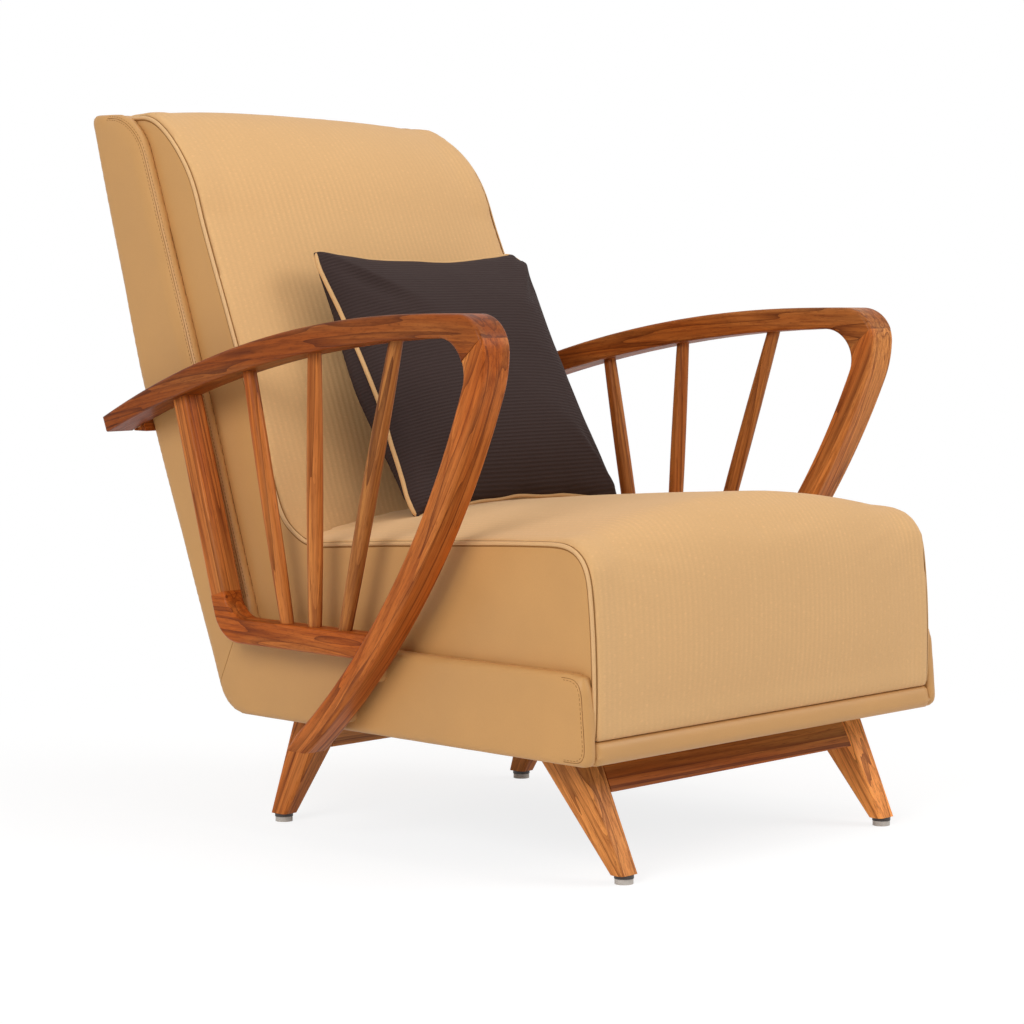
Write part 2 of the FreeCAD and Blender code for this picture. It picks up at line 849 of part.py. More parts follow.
def cross_rail():
    """Rail behind the back that joins the two arm tips."""
    corners = [
        (rear_line(cross_bottom) + cross_play, cross_bottom, 0),
        (rear_line(cross_bottom) + cross_play + cross_depth, cross_bottom, cross_round),
        (rear_line(cross_top) + cross_play + cross_depth, cross_top, cross_round),
        (rear_line(cross_top) + cross_play, cross_top, 0),
    ]
    return across(arm_inner, lambda place: rounded(place, corners))


def cross_dowel(side):
    """Start and direction of the dowel between an arm's tip and the cross rail."""
    z = (cross_bottom + cross_top) / 2
    y = rear_line(z) + cross_play + cross_depth / 2
    out = outward(side)
    return on_side(side, arm_inner)(y, z) - out * dowel_length / 2, out


def cross_screw(x, shank_radius, head_radius):
    """Screw from the cross rail's rear face through the tub's back into the lumbar rail."""
    z = (cross_bottom + cross_top) / 2
    rise = Vector(0, bend_back, bend_rise).normalize()
    inward = Vector(0, -rise.z, rise.y)
    start = Vector(x, rear_line(z) + cross_play + cross_depth, z)
    shank = rod(start, inward, shank_radius, screw_length)
    return shank.fuse(rod(start, inward, head_radius, screw_head_depth))


# Base
def leg(side, foot, foot_size, head, head_size):
    """Leg that tapers from its head under the tub to its foot on the glide."""
    wires = []
    levels = ((foot, foot_size, glide_height), (head, head_size, cover_bottom))
    for (x, y), (wide, deep), z in levels:
        points = []
        for right, back in ((-1, -1), (1, -1), (1, 1), (-1, 1)):
            points.append(Vector(side * (x + right * wide / 2), y + back * deep / 2, z))
        wires.append(Part.makePolygon(points + points[:1]))
    return Part.makeLoft(wires, True, True)


def leg_face(foot, foot_size, head, head_size, z):
    """y of a leg's front face at height z."""
    low = foot[1] - foot_size[1] / 2
    high = head[1] - head_size[1] / 2
    return low + (high - low) * (z - glide_height) / (cover_bottom - glide_height)


def base_rail(foot, foot_size, head, head_size):
    """Rail between two legs, in line with their front faces, with a tenon at each end."""
    bottom = cover_bottom - base_rail_height
    points = []
    for z, back in ((bottom, 0), (bottom, 1), (cover_bottom, 1), (cover_bottom, 0)):
        y = leg_face(foot, foot_size, head, head_size, z) + base_rail_inset + back * base_rail_depth
        points.append(Vector(-head[0], y, z))
    board = Part.Face(Part.makePolygon(points + points[:1])).extrude(Vector(2 * head[0], 0, 0))
    return board, base_tenons(foot, foot_size, head, head_size, 0.0)


def base_tenons(foot, foot_size, head, head_size, play):
    """Tongue through the middle of a base rail that enters the legs at both ends."""
    z = cover_bottom - base_rail_height / 2
    y = leg_face(foot, foot_size, head, head_size, z) + base_rail_inset + base_rail_depth / 2
    reach = head[0] - head_size[0] / 2 + tenon_length + play
    deep = base_tenon_depth + 2 * play
    high = base_tenon_height + 2 * play
    return Part.makeBox(2 * reach, deep, high, Vector(-reach, y - deep / 2, z - high / 2))


def stud_place(side, foot, head):
    """Point on the leg's head where its stud stands."""
    share = 1 - stud_bite / 2 / (cover_bottom - glide_height)
    y = foot[1] + (head[1] - foot[1]) * share
    return Vector(side * head[0], y, cover_bottom)


def leg_stud(point, play=0.0):
    """Threaded stud from a leg through its bearer."""
    length = stud_bite + cover_thick + bearer_height + nut_height + play
    return rod(point - Vector(0, 0, stud_bite + play), Vector(0, 0, 1), bolt_radius + play, length)


def leg_nut(point):
    bottom = point + Vector(0, 0, cover_thick + bearer_height)
    radius = nut_across / math.sqrt(3)
    corners = []
    for i in range(7):
        angle = math.radians(60 * i)
        corners.append(bottom + Vector(radius * math.cos(angle), radius * math.sin(angle), 0))
    nut = Part.Face(Part.makePolygon(corners)).extrude(Vector(0, 0, nut_height))
    return nut.cut(leg_stud(point, bolt_play))


def glide(side, foot):
    """Cup with its stem, and the pad under it."""
    x, y = foot
    up = Vector(0, 0, 1)
    cup = rod(Vector(side * x, y, glide_pad_height), up, glide_radius, glide_height - glide_pad_height)
    stem = rod(Vector(side * x, y, glide_height), up, glide_stem_radius, glide_stem_length)
    pad = rod(Vector(side * x, y, 0), up, glide_pad_radius, glide_pad_height)
    return cup.fuse(stem).removeSplitter(), pad


# Scatter cushion: two crowned halves that meet at the seam, with sides drawn in between the corners
def cushion_outline(half, pull, level):
    corners = [(-half, -half), (half, -half), (half, half), (-half, half)]
    edges = []
    for i, (x, z) in enumerate(corners):
        end_x, end_z = corners[(i + 1) % 4]
        mid_x = (x + end_x) / 2 * (1 - pull / half)
        mid_z = (z + end_z) / 2 * (1 - pull / half)
        arc = Part.Arc(Vector(x, level, z), Vector(mid_x, level, mid_z), Vector(end_x, level, end_z))
        edges.append(arc.toShape())
    return Part.Wire(edges)


def scatter_cushion(seat, back):
    halves = []
    for face in (-1, 1):
        wires = []
        for level, size, pull in cushion_levels:
            half = cushion_side / 2 * size
            wires.append(cushion_outline(half, cushion_pull * pull, face * level * cushion_thick / 2))
        halves.append(Part.makeLoft(wires, True, False))
    cushion = halves[0].fuse(halves[1]).removeSplitter()
    lean = FreeCAD.Rotation(Vector(1, 0, 0), -cushion_recline)
    turn = FreeCAD.Rotation(Vector(0, 0, 1), cushion_turn)
    lifted = base_height + seat_front_rise + cushion_side
    cushion.Placement = FreeCAD.Placement(Vector(cushion_off_centre, tub_front, lifted), turn * lean)
    down_the_back = Vector(0, -back_slope, -1).normalize()
    cushion = settle(cushion, back, Vector(0, 1, 0), cushion_gap)
    cushion = settle(cushion, seat, down_the_back, cushion_gap)
    return settle(cushion, back, Vector(0, 1, 0), cushion_gap)


def build():
    nodes = {}
    seat = seat_pad()
    back = back_pad()
    nodes["seat_pad"] = seat
    nodes["back_pad"] = back
    nodes["scatter_cushion"] = scatter_cushion(seat, back)
    lumbar_bottom = (cross_bottom + cross_top - lumbar_height) / 2
    cover = tub_back()
    lumbar = back_rail(lumbar_bottom, lumbar_height).cut(cover)
    cross = cross_rail()
    screws = []
    for i in range(cross_screws):
        x = (i - (cross_screws - 1) / 2) * cross_screw_pitch
        screws.append(cross_screw(x, screw_radius, screw_head_radius))
        hole = cross_screw(x, screw_radius + tenon_play, screw_head_radius + tenon_play)
        lumbar = lumbar.cut((hole,), drill_tolerance)
        cover = cover.cut(hole)
        cross = cross.cut(hole)
    nodes["lumbar_rail"] = lumbar
    nodes["tub_back"] = cover
    nodes["cross_rail_screws"] = Part.makeCompound(screws)
    nodes["back_top_rail"] = back_rail(stile_top - top_rail_height, top_rail_height)
    nodes["front_lip"] = front_lip()
    nodes["seat_front_rail"] = frame_board(lip_back, rail_wood, frame_bottom, frame_height)
    nodes["seat_rear_rail"] = frame_board(frame_rear - rail_wood, rail_wood, frame_bottom, frame_height)
    nodes["seat_corner_blocks"] = corner_blocks()
    nodes["seat_webbing"] = seat_webbing()
    nodes["back_webbing"] = back_webbing()
    dust = dust_cover()

    bolts = []
    spacers = []
    pins = []
    for name, side in SIDES.items():
        arm_raw, brace_raw = raw_arm_and_brace(side)
        rail = lower_rail(side, brace_raw)
        post = rear_post(side, arm_raw)
        arm = arm_raw.makeFillet(arm_edge_round, arm_round_edges(arm_raw, side))
        brace = brace_raw.makeFillet(arm_edge_round, brace_round_edges(brace_raw, side))
        axes = spindle_axes(side)
        for i, (foot, head) in enumerate(axes):
            nodes[f"spindle_{name}_{i + 1}"] = spindle(foot, head, arm_raw, rail)
        for foot, head in axes:
            socket = spindle_tenon(foot, head, spindle_tenon_radius + tenon_play)
            arm = arm.cut(socket)
            rail = rail.cut(socket)
        head_tenon, foot_tenon = post_tenon(side, tenon_radius)
        head_socket, foot_socket = post_tenon(side, tenon_radius + tenon_play)
        post = post.fuse(head_tenon).fuse(foot_tenon).removeSplitter()
        arm = arm.cut(head_socket)
        rail = rail.cut(foot_socket).fuse(rail_tenon(side, tenon_radius)).removeSplitter()
        brace = brace.cut(rail_tenon(side, tenon_radius + tenon_play))
        for start, direction in arm_joint_dowels(side):
            pins.append(rod(start, direction, dowel_radius, dowel_length))
            hole = rod(start, direction, dowel_radius + tenon_play, dowel_length)
            arm = arm.cut(hole)
            brace = brace.cut(hole)
        start, direction = cross_dowel(side)
        pins.append(rod(start, direction, dowel_radius, dowel_length))
        hole = rod(start, direction, dowel_radius + tenon_play, dowel_length)
        arm = arm.cut(hole)
        cross = cross.cut(hole)
        panels = tub_side(side)
        side_rail = seat_side_rail(side)
        for point in bolt_places(side):
            bolts.append(arm_bolt(point, side, bolt_radius, bolt_head_radius))
            spacers.append(arm_spacer(point, side))
            hole = arm_bolt(point, side, bolt_radius + bolt_play, bolt_radius + bolt_play)
            brace = brace.cut(hole)
            panels["seat_side"] = panels["seat_side"].cut(hole)
            side_rail = side_rail.cut(hole)
        nodes[f"arm_{name}"] = arm
        nodes[f"brace_{name}"] = brace
        nodes[f"rear_post_{name}"] = post
        nodes[f"lower_rail_{name}"] = rail
        nodes[f"seat_side_{name}"] = panels["seat_side"]
        nodes[f"back_side_{name}"] = panels["back_side"]
        nodes[f"seat_side_rail_{name}"] = side_rail
        nodes[f"back_stile_{name}"] = stile(side)
    nodes["cross_rail"] = cross
    nodes["arm_dowels"] = Part.makeCompound(pins)
    nodes["arm_bolts"] = Part.makeCompound(bolts)
    nodes["arm_spacers"] = Part.makeCompound(spacers)

    trestles = {
        "front": (front_foot, front_foot_size, front_head, front_head_size),
        "rear": (rear_foot, rear_foot_size, rear_head, rear_head_size),
    }
    studs = []
    nuts = []
    cups = []
    pads = []
    for name, sizes in trestles.items():
        foot, foot_size, head, head_size = sizes
        board, tongue = base_rail(*sizes)
        bearer = frame_board(head[1] - head_size[1] / 2, head_size[1], frame_bottom, bearer_height)
        for side_name, side in SIDES.items():
            wood = leg(side, *sizes)
            board = board.cut(wood)
            steep = [e for e in wood.Edges if abs(e.tangentAt(e.FirstParameter).z) > 0.5]
            wood = wood.makeFillet(leg_round, steep)
            wood = wood.cut(base_tenons(*sizes, tenon_play))
            point = stud_place(side, foot, head)
            studs.append(leg_stud(point))
            nuts.append(leg_nut(point))
            hole = leg_stud(point, bolt_play)
            cup, pad = glide(side, foot)
            cups.append(cup)
            pads.append(pad)
            stem = rod(Vector(side * foot[0], foot[1], 0), Vector(0, 0, 1), glide_stem_radius + tenon_play,
                       glide_height + glide_stem_length + tenon_play)
            nodes[f"{name}_leg_{side_name}"] = wood.cut(hole).cut(stem)
            bearer = bearer.cut(hole)
            dust = dust.cut(hole)
        middle = [s for s in board.Solids if abs(s.CenterOfMass.x) < 1][0]
        nodes[f"{name}_base_rail"] = middle.fuse(tongue).removeSplitter()
        nodes[f"{name}_bearer"] = bearer
    nodes["dust_cover"] = dust
    nodes["leg_studs"] = Part.makeCompound(studs)
    nodes["leg_nuts"] = Part.makeCompound(nuts)
    nodes["glide_cups"] = Part.makeCompound(cups)
    nodes["glide_pads"] = Part.makeCompound(pads)
    return nodes


def arm_round_edges(arm, side):
    """Long edges of an arm, without those of its scarf joint."""
    low = Vector(0, arm_front, arm_top - joint_front_drop)
    run = Vector(0, arm_corner_round, joint_front_drop - joint_back_drop).normalize()
    square = Vector(0, -run.z, run.y)
    edges = side_edges(arm, side, arm_inner) + side_edges(arm, side, arm_outer)
    return [e for e in edges if any(abs((p - low).dot(square)) > 0.5 for p in e.discretize(3))]


def brace_round_edges(brace, side):
    """Long edges of a brace, without those of its scarf joint and its foot."""
    low = Vector(0, arm_front, arm_top - joint_front_drop)
    run = Vector(0, arm_corner_round, joint_front_drop - joint_back_drop).normalize()
    square = Vector(0, -run.z, run.y)
    foot_z = base_height - brace_foot_drop
    edges = []
    for edge in brace.Edges:
        points = edge.discretize(3)
        along_joint = all(abs((p - low).dot(square)) < 0.5 for p in points)
        along_foot = all(abs(p.z - foot_z) < 0.5 for p in points)
        sideways = abs(points[2].x - points[0].x) > abs(points[2].z - points[0].z)
        if not along_joint and not along_foot and not sideways:
            edges.append(edge)
    return edges


def export(nodes):
    """Sets the origin on the floor under the middle of the chair and writes one file a node."""
    boxes = [shape.optimalBoundingBox() for shape in nodes.values()]
    middle = (min(b.YMin for b in boxes) + max(b.YMax for b in boxes)) / 2
    os.makedirs("parts", exist_ok=True)
    for name, shape in nodes.items():
        shape.translate(Vector(0, -middle, 0))
        shape.exportStep(f"parts/{name}.step")
        print(name, "solids", len(shape.Solids), "valid", shape.isValid(), "volume", round(shape.Volume))
    print("moved forward by", round(middle, 3))


export(build())
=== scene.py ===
import math

import bmesh
import bpy
import numpy as np
from bpy.props import FloatProperty, FloatVectorProperty, PointerProperty
from mathutils import Matrix, Vector, noise
from mathutils.bvhtree import BVHTree


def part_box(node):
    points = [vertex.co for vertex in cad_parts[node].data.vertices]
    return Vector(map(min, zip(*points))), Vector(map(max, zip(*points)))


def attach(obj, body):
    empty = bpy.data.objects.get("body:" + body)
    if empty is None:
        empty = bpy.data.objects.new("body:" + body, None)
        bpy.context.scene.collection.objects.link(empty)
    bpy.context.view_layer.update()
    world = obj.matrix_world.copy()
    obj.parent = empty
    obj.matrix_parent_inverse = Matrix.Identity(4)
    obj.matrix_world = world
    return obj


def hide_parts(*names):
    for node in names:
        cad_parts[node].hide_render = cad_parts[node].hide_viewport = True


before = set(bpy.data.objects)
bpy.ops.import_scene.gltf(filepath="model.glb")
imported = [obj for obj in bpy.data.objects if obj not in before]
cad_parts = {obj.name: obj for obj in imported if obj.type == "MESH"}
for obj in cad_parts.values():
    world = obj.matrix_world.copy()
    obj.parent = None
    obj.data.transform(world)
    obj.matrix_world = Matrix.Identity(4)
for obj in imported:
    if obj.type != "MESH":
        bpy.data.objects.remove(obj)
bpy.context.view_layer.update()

bl_info = {
    "name": "Teak lounge chair",
    "version": (1, 0, 0),
    "blender": (4, 5, 0),
    "location": "3D View > Sidebar > Lounge chair",
    "description": "Upholstery, wood finish and stage of a lounge chair with open teak arms",
    "category": "Object",
}

# Plan of the chair in metres: every side face closes in toward the rear at one rate
SIDES = {"left": -1, "right": 1}
TAPER = 0.0725
WIDTH_DATUM = -0.41493
PAD_HALF = 0.303
TUB_INNER = 0.3035
TUB_OUTER = 0.3205
LIP_TOP = 0.161
TRAY_TOP = 0.233

# Cushions: how far the sides are drawn in and from how deep, and how much fuller one end of the crest is
TUCK = 0.002
TUCK_REACH = 0.010
CREST_FULLNESS = 0.0058

# Side view of the tub: y, z and corner radius
TUB_OUTLINE = (
    (-0.42493, 0.135, 0.012),
    (-0.41693, 0.233, 0.018),
    (0.12507, 0.233, 0.040),
    (0.22507, 0.523, 0.600),
    (0.34507, 0.845, 0.070),
    (0.43407, 0.845, 0.009),
    (0.33707, 0.523, 0.600),
    (0.17807, 0.135, 0.048),
)
MITRE = ((0.189, 0.1665), (0.141, 0.263))

# Scatter cushion: corners of its seam from its middle, how far a side bows in, the share by which the seam
# wavers, how far the rear half swells at the sides, and its lean
CUSHION_CORNERS = ((-0.181, -0.176), (0.169, -0.172), (0.168, 0.180), (-0.186, 0.180))
CUSHION_PULL = 0.017
CUSHION_WAVER = 0.018
CUSHION_SWELL = 0.034
CUSHION_TURN = Matrix.Rotation(math.radians(-3.0), 3, "Z") @ Matrix.Rotation(math.radians(-28.8), 3, "X")


def half_at(half, y):
    """Half width at y of the side plane that is `half` wide at the width datum."""
    return half - TAPER * (y - WIDTH_DATUM)


def onto_side(side, half):
    """Shear that stands a side view drawing on a side plane, with its +X pointing away from the chair."""
    return Matrix(
        (
            (side, -side * TAPER, 0, side * (half + TAPER * WIDTH_DATUM)),
            (0, 1, 0, 0),
            (0, 0, 1, 0),
            (0, 0, 0, 1),
        )
    )


def seat_meets_back(z):
    """y of the plane in which the seat cushion and the back cushion meet."""
    return 0.07431 + 0.42 * (z - 0.341)


def tub_front_edge(z):
    """y of the front edge of the tub's back."""
    if z < 0.523:
        return 0.12507 + (z - 0.233) * 0.345
    return 0.22507 + (z - 0.523) * 0.3727


def ramp(value, low, high):
    """0 below low, 1 above high, smooth between."""
    t = min(max((value - low) / (high - low), 0.0), 1.0)
    return t * t * (3 - 2 * t)


# Pieces and meshes
def new_piece(name, mesh):
    piece = bpy.data.objects.new(name, mesh)
    bpy.context.scene.collection.objects.link(piece)
    return piece


def piece_from(name, bm, material, smooth=True):
    """Object made from a finished bmesh."""
    mesh = bpy.data.meshes.new(name)
    bm.to_mesh(mesh)
    bm.free()
    mesh.materials.append(material)
    mesh.polygons.foreach_set("use_smooth", [smooth] * len(mesh.polygons))
    return new_piece(name, mesh)


def belongs(piece, body, slot, *nodes):
    """Says what the piece moves with and which solids it stands for; the slot, which names its finish, is not
    used.
    """
    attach(piece, body)
    if nodes:
        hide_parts(*nodes)


def apply_modifiers(piece):
    shown = piece.evaluated_get(bpy.context.evaluated_depsgraph_get())
    mesh = bpy.data.meshes.new_from_object(shown)
    old = piece.data
    piece.modifiers.clear()
    piece.data = mesh
    bpy.data.meshes.remove(old)
    mesh.name = piece.name


def spots(mesh):
    flat = np.empty(len(mesh.vertices) * 3)
    mesh.vertices.foreach_get("co", flat)
    return flat.reshape(-1, 3)


def put_spots(mesh, places):
    mesh.vertices.foreach_set("co", places.ravel())
    mesh.update()


def pad_block(name, voxel, *nodes):
    """Copy of the solids' meshes, merged and remade in even quads."""
    mesh = bpy.data.meshes.new(name)
    bm = bmesh.new()
    for node in nodes:
        bm.from_mesh(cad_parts[node].data)
    bmesh.ops.remove_doubles(bm, verts=bm.verts, dist=1e-6)
    bm.to_mesh(mesh)
    bm.free()
    piece = new_piece(name, mesh)
    remesh = piece.modifiers.new("even quads", "REMESH")
    remesh.mode = "VOXEL"
    remesh.voxel_size = voxel
    apply_modifiers(piece)
    return piece


def stuff(piece, held_at, shrink, cap, pressure):
    """Blows the cover up against its sewn edges. held_at gives 1 where it is sewn down, else 0."""
    mesh = piece.data
    start = spots(mesh)
    normals = np.array([v.normal for v in mesh.vertices])
    held = np.array([held_at(v.co, v.normal) for v in mesh.vertices])
    put_spots(mesh, start - normals * (shrink * (1 - held))[:, None])
    sewn = piece.vertex_groups.new(name="sewn down")
    for level in range(11):
        found = np.nonzero(np.round(held * 10) == level)[0]
        sewn.add(found.tolist(), level / 10, "REPLACE")
    cloth = piece.modifiers.new("stuffing", "CLOTH")
    cloth.settings.vertex_group_mass = sewn.name
    cloth.settings.use_pressure = True
    cloth.settings.uniform_pressure_force = pressure
    cloth.settings.effector_weights.gravity = 0
    cloth.settings.quality = 2
    cloth.point_cache.frame_start = 1
    cloth.point_cache.frame_end = 20
    for step in range(1, 21):
        bpy.context.scene.frame_set(step)
    shown = piece.evaluated_get(bpy.context.evaluated_depsgraph_get())
    move = spots(shown.data) - start
    piece.modifiers.clear()
    piece.vertex_groups.clear()
    bpy.context.scene.frame_set(1)
    reach = np.linalg.norm(move, axis=1)
    share = np.minimum(1, cap / np.maximum(reach, 1e-9)) * (1 - held)
    put_spots(mesh, start + move * share[:, None])


def soften(piece, rounds):
    """Smooths the mesh all over, and swells it again after each round so that it keeps its size."""
    bm = bmesh.new()
    bm.from_mesh(piece.data)
    for _ in range(rounds):
        for factor in (0.5, -0.52):
            bmesh.ops.smooth_vert(
                bm, verts=bm.verts, factor=factor, use_axis_x=True, use_axis_y=True, use_axis_z=True
            )
    bm.to_mesh(piece.data)
    bm.free()


def refine(piece):
    """One subdivision, applied."""
    finer = piece.modifiers.new("finer", "SUBSURF")
    finer.levels = 1
    finer.render_levels = 1
    apply_modifiers(piece)


def dress(piece, material):
    piece.data.materials.clear()
    piece.data.materials.append(material)
    piece.data.polygons.foreach_set("use_smooth", [True] * len(piece.data.polygons))


def shift_spots(piece, move):
    """Moves every vertex by move(place, normal)."""
    places = spots(piece.data)
    for i, vert in enumerate(piece.data.vertices):
        places[i] += move(vert.co, vert.normal)
    put_spots(piece.data, places)


# Paths along seams
def cut_path(piece, point, normal, keep):
    """Longest run of the line in which a plane cuts the piece, of the vertices that keep accepts."""
    bm = bmesh.new()
    bm.from_mesh(piece.data)
    geom = bm.verts[:] + bm.edges[:] + bm.faces[:]
    cut = bmesh.ops.bisect_plane(bm, geom=geom, plane_co=point, plane_no=normal, dist=1e-7)["geom_cut"]
    bm.normal_update()
    near = {}
    for edge in cut:
        if isinstance(edge, bmesh.types.BMEdge):
            a, b = edge.verts
            if keep(a.co, a.normal) and keep(b.co, b.normal):
                near.setdefault(a, []).append(b)
                near.setdefault(b, []).append(a)
    runs = []
    left = dict.fromkeys(sorted(near, key=lambda v: len(near[v])))
    while left:
        here = next(iter(left))
        run = []
        while here is not None:
            left.pop(here)
            run.append(here.co.copy())
            here = next((v for v in near[here] if v in left), None)
        runs.append(run)
    bm.free()
    return max(runs, key=len)


def even_path(path, step, closed=False):
    """The path again, with points a step apart."""
    points = np.array(path)
    if closed:
        points = np.vstack((points, points[:1]))
    along = np.concatenate(([0], np.cumsum(np.linalg.norm(np.diff(points, axis=0), axis=1))))
    count = max(int(round(along[-1] / step)), 2)
    marks = np.linspace(0, along[-1], count + 1)
    marks = marks[:-1] if closed else marks
    return np.stack([np.interp(marks, along, side) for side in points.T], -1)


def calm_path(points, rounds, closed=False):
    """Evens out a path's wobble; open ends stay."""
    points = points.copy()
    for _ in range(rounds):
        middle = (np.roll(points, 1, 0) + np.roll(points, -1, 0)) / 2
        if not closed:
            middle[0] = points[0]
            middle[-1] = points[-1]
        points = (points + middle) / 2
    return points


def cord_mesh(name, points, radius, material, closed=False, sides=2):
    """Round cord along a path, as a mesh."""
    curve = bpy.data.curves.new(name, "CURVE")
    curve.dimensions = "3D"
    curve.bevel_depth = radius
    curve.bevel_resolution = sides
    curve.use_fill_caps = True
    spline = curve.splines.new("POLY")
    spline.points.add(len(points) - 1)
    for spot, place in zip(spline.points, points):
        spot.co = (*place, 1)
    spline.use_cyclic_u = closed
    holder = new_piece(name, curve)
    shown = holder.evaluated_get(bpy.context.evaluated_depsgraph_get())
    mesh = bpy.data.meshes.new_from_object(shown)
    bpy.data.objects.remove(holder)
    bpy.data.curves.remove(curve)
    mesh.materials.clear()
    mesh.materials.append(material)
    bm = bmesh.new()
    bm.from_mesh(mesh)
    bmesh.ops.remove_doubles(bm, verts=bm.verts, dist=1e-6)
    bmesh.ops.recalc_face_normals(bm, faces=bm.faces)
    bm.to_mesh(mesh)
    bm.free()
    mesh.polygons.foreach_set("use_smooth", [True] * len(mesh.polygons))
    return new_piece(name, mesh)


def surface_of(piece):
    """The piece's surface, for finding its nearest point and normal."""
    corners = [v.co for v in piece.data.vertices]
    return BVHTree.FromPolygons(corners, [p.vertices for p in piece.data.polygons])


def drop_on(surface, point, side):
    """Place and normal where a line from beside the chair through the point meets a surface."""
    away = Vector((side * 0.05, 0, 0))
    place, normal = surface.ray_cast(Vector(point) + away, -away)[:2]
    if place is None:
        place, normal = surface.find_nearest(Vector(point))[:2]
    return place, normal


def room_to(path, places):
    """Distance in side view from each place to a path."""
    start = path[:-1, None]
    run = path[1:, None] - start
    share = np.sum((places - start) * run, -1) / np.maximum(np.sum(run * run, -1), 1e-12)
    near = start + run * np.clip(share, 0, 1)[..., None]
    return np.min(np.linalg.norm(places - near, axis=-1), 0)


def stitch_row(bm, surface, side, points, length, gap, width, rise):
    """Adds thread stitches along a path, each a small bevelled bar that lies on a side surface."""
    path = even_path(points, length + gap)
    for start, end in zip(path[:-1], path[1:]):
        middle, up = drop_on(surface, (start + end) / 2, side)
        along = Vector(end - start).normalized()
        across = along.cross(up).normalized()
        up = across.cross(along).normalized()
        bar = bmesh.ops.create_cube(bm, size=1.0)["verts"]
        place = Matrix((along * length, across * width, up * rise)).transposed().to_4x4()
        place.translation = middle
        bmesh.ops.transform(bm, matrix=place, verts=bar)
        edges = list({edge for vert in bar for edge in vert.link_edges})
        bmesh.ops.bevel(
            bm, geom=edges, offset=rise * 0.3, offset_type="OFFSET", affect="EDGES",
            segments=1, profile=0.5, material=-1,
        )


# Shader nodes
def feed(tree, value, socket):
    """Links an output to a socket, or sets the socket to a value."""
    if isinstance(value, bpy.types.NodeSocket):
        tree.links.new(value, socket)
    else:
        socket.default_value = value


def calc(tree, operation, *values):
    made = tree.nodes.new("ShaderNodeMath")
    made.operation = operation
    for socket, value in zip(made.inputs, values):
        feed(tree, value, socket)
    return made.outputs[0]


def between(tree, factor, low, high):
    """Colour between two colours."""
    made = tree.nodes.new("ShaderNodeMix")
    made.data_type = "RGBA"
    feed(tree, factor, made.inputs[0])
    feed(tree, low, made.inputs[6])
    feed(tree, high, made.inputs[7])
    return made.outputs[2]


def spread(tree, value, low, high, to_low=0.0, to_high=1.0):
    """Value moved from one range to another, clamped."""
    made = tree.nodes.new("ShaderNodeMapRange")
    for name, number in (("From Min", low), ("From Max", high), ("To Min", to_low), ("To Max", to_high)):
        made.inputs[name].default_value = number
    feed(tree, value, made.inputs["Value"])
    return made.outputs[0]


def scaled(tree, vector, scale):
    made = tree.nodes.new("ShaderNodeVectorMath")
    made.operation = "MULTIPLY"
    feed(tree, vector, made.inputs[0])
    made.inputs[1].default_value = scale
    return made.outputs[0]


def grain_noise(tree, vector, scale, detail=2.0, roughness=0.5):
    made = tree.nodes.new("ShaderNodeTexNoise")
    made.inputs["Scale"].default_value = scale
    made.inputs["Detail"].default_value = detail
    made.inputs["Roughness"].default_value = roughness
    feed(tree, vector, made.inputs["Vector"])
    return made.outputs[0]


def new_group(name, inputs, outputs):
    """Empty node group with named sockets; gives the tree, what comes in and what goes out."""
    tree = bpy.data.node_groups.new(name, "ShaderNodeTree")
    for kind, title, default in inputs:
        socket = tree.interface.new_socket(name=title, in_out="INPUT", socket_type=kind)
        if default is not None:
            socket.default_value = default
    for title in outputs:
        tree.interface.new_socket(name=title, in_out="OUTPUT", socket_type="NodeSocketFloat")
    return tree, tree.nodes.new("NodeGroupInput").outputs, tree.nodes.new("NodeGroupOutput").inputs


def rib_weave():
    """Ribs that stand on planes of constant X, with short raised floats here and there along them."""
    if "rib_weave" in bpy.data.node_groups:
        return bpy.data.node_groups["rib_weave"]
    tree, given, out = new_group(
        "rib_weave",
        (
            ("NodeSocketVector", "Vector", None),
            ("NodeSocketFloat", "Pitch", 0.006),
            ("NodeSocketFloat", "Float", 0.01),
        ),
        ("Rib", "Float", "Slub", "Height"),
    )
    parts = tree.nodes.new("ShaderNodeSeparateXYZ")
    feed(tree, given["Vector"], parts.inputs[0])
    u = calc(tree, "DIVIDE", parts.outputs[0], given["Pitch"])
    wave = calc(tree, "COSINE", calc(tree, "MULTIPLY", u, 2 * math.pi))
    rib = calc(tree, "MULTIPLY_ADD", wave, 0.5, 0.5)
    number = calc(tree, "FLOOR", calc(tree, "ADD", u, 0.5))
    t = calc(tree, "ADD", parts.outputs[1], parts.outputs[2])
    v = calc(tree, "MULTIPLY_ADD", number, 0.37, calc(tree, "DIVIDE", t, given["Float"]))
    beat = calc(tree, "COSINE", calc(tree, "MULTIPLY", v, 2 * math.pi))
    cell = tree.nodes.new("ShaderNodeCombineXYZ")
    feed(tree, number, cell.inputs[0])
    feed(tree, calc(tree, "FLOOR", calc(tree, "ADD", v, 0.5)), cell.inputs[1])
    pick = tree.nodes.new("ShaderNodeTexWhiteNoise")
    pick.noise_dimensions = "2D"
    feed(tree, cell.outputs[0], pick.inputs["Vector"])
    chosen = spread(tree, pick.outputs["Value"], 0.45, 0.95)
    raised = calc(tree, "MULTIPLY", spread(tree, beat, 0.0, 0.8), calc(tree, "POWER", rib, 2.0))
    raised = calc(tree, "MULTIPLY", raised, chosen)
    slub = grain_noise(tree, scaled(tree, given["Vector"], (260, 900, 900)), 1.0, 1.0)
    height = calc(tree, "MULTIPLY_ADD", raised, 0.4, calc(tree, "MULTIPLY_ADD", slub, 0.6, rib))
    feed(tree, rib, out["Rib"])
    feed(tree, raised, out["Float"])
    feed(tree, slub, out["Slub"])
    feed(tree, height, out["Height"])
    return tree


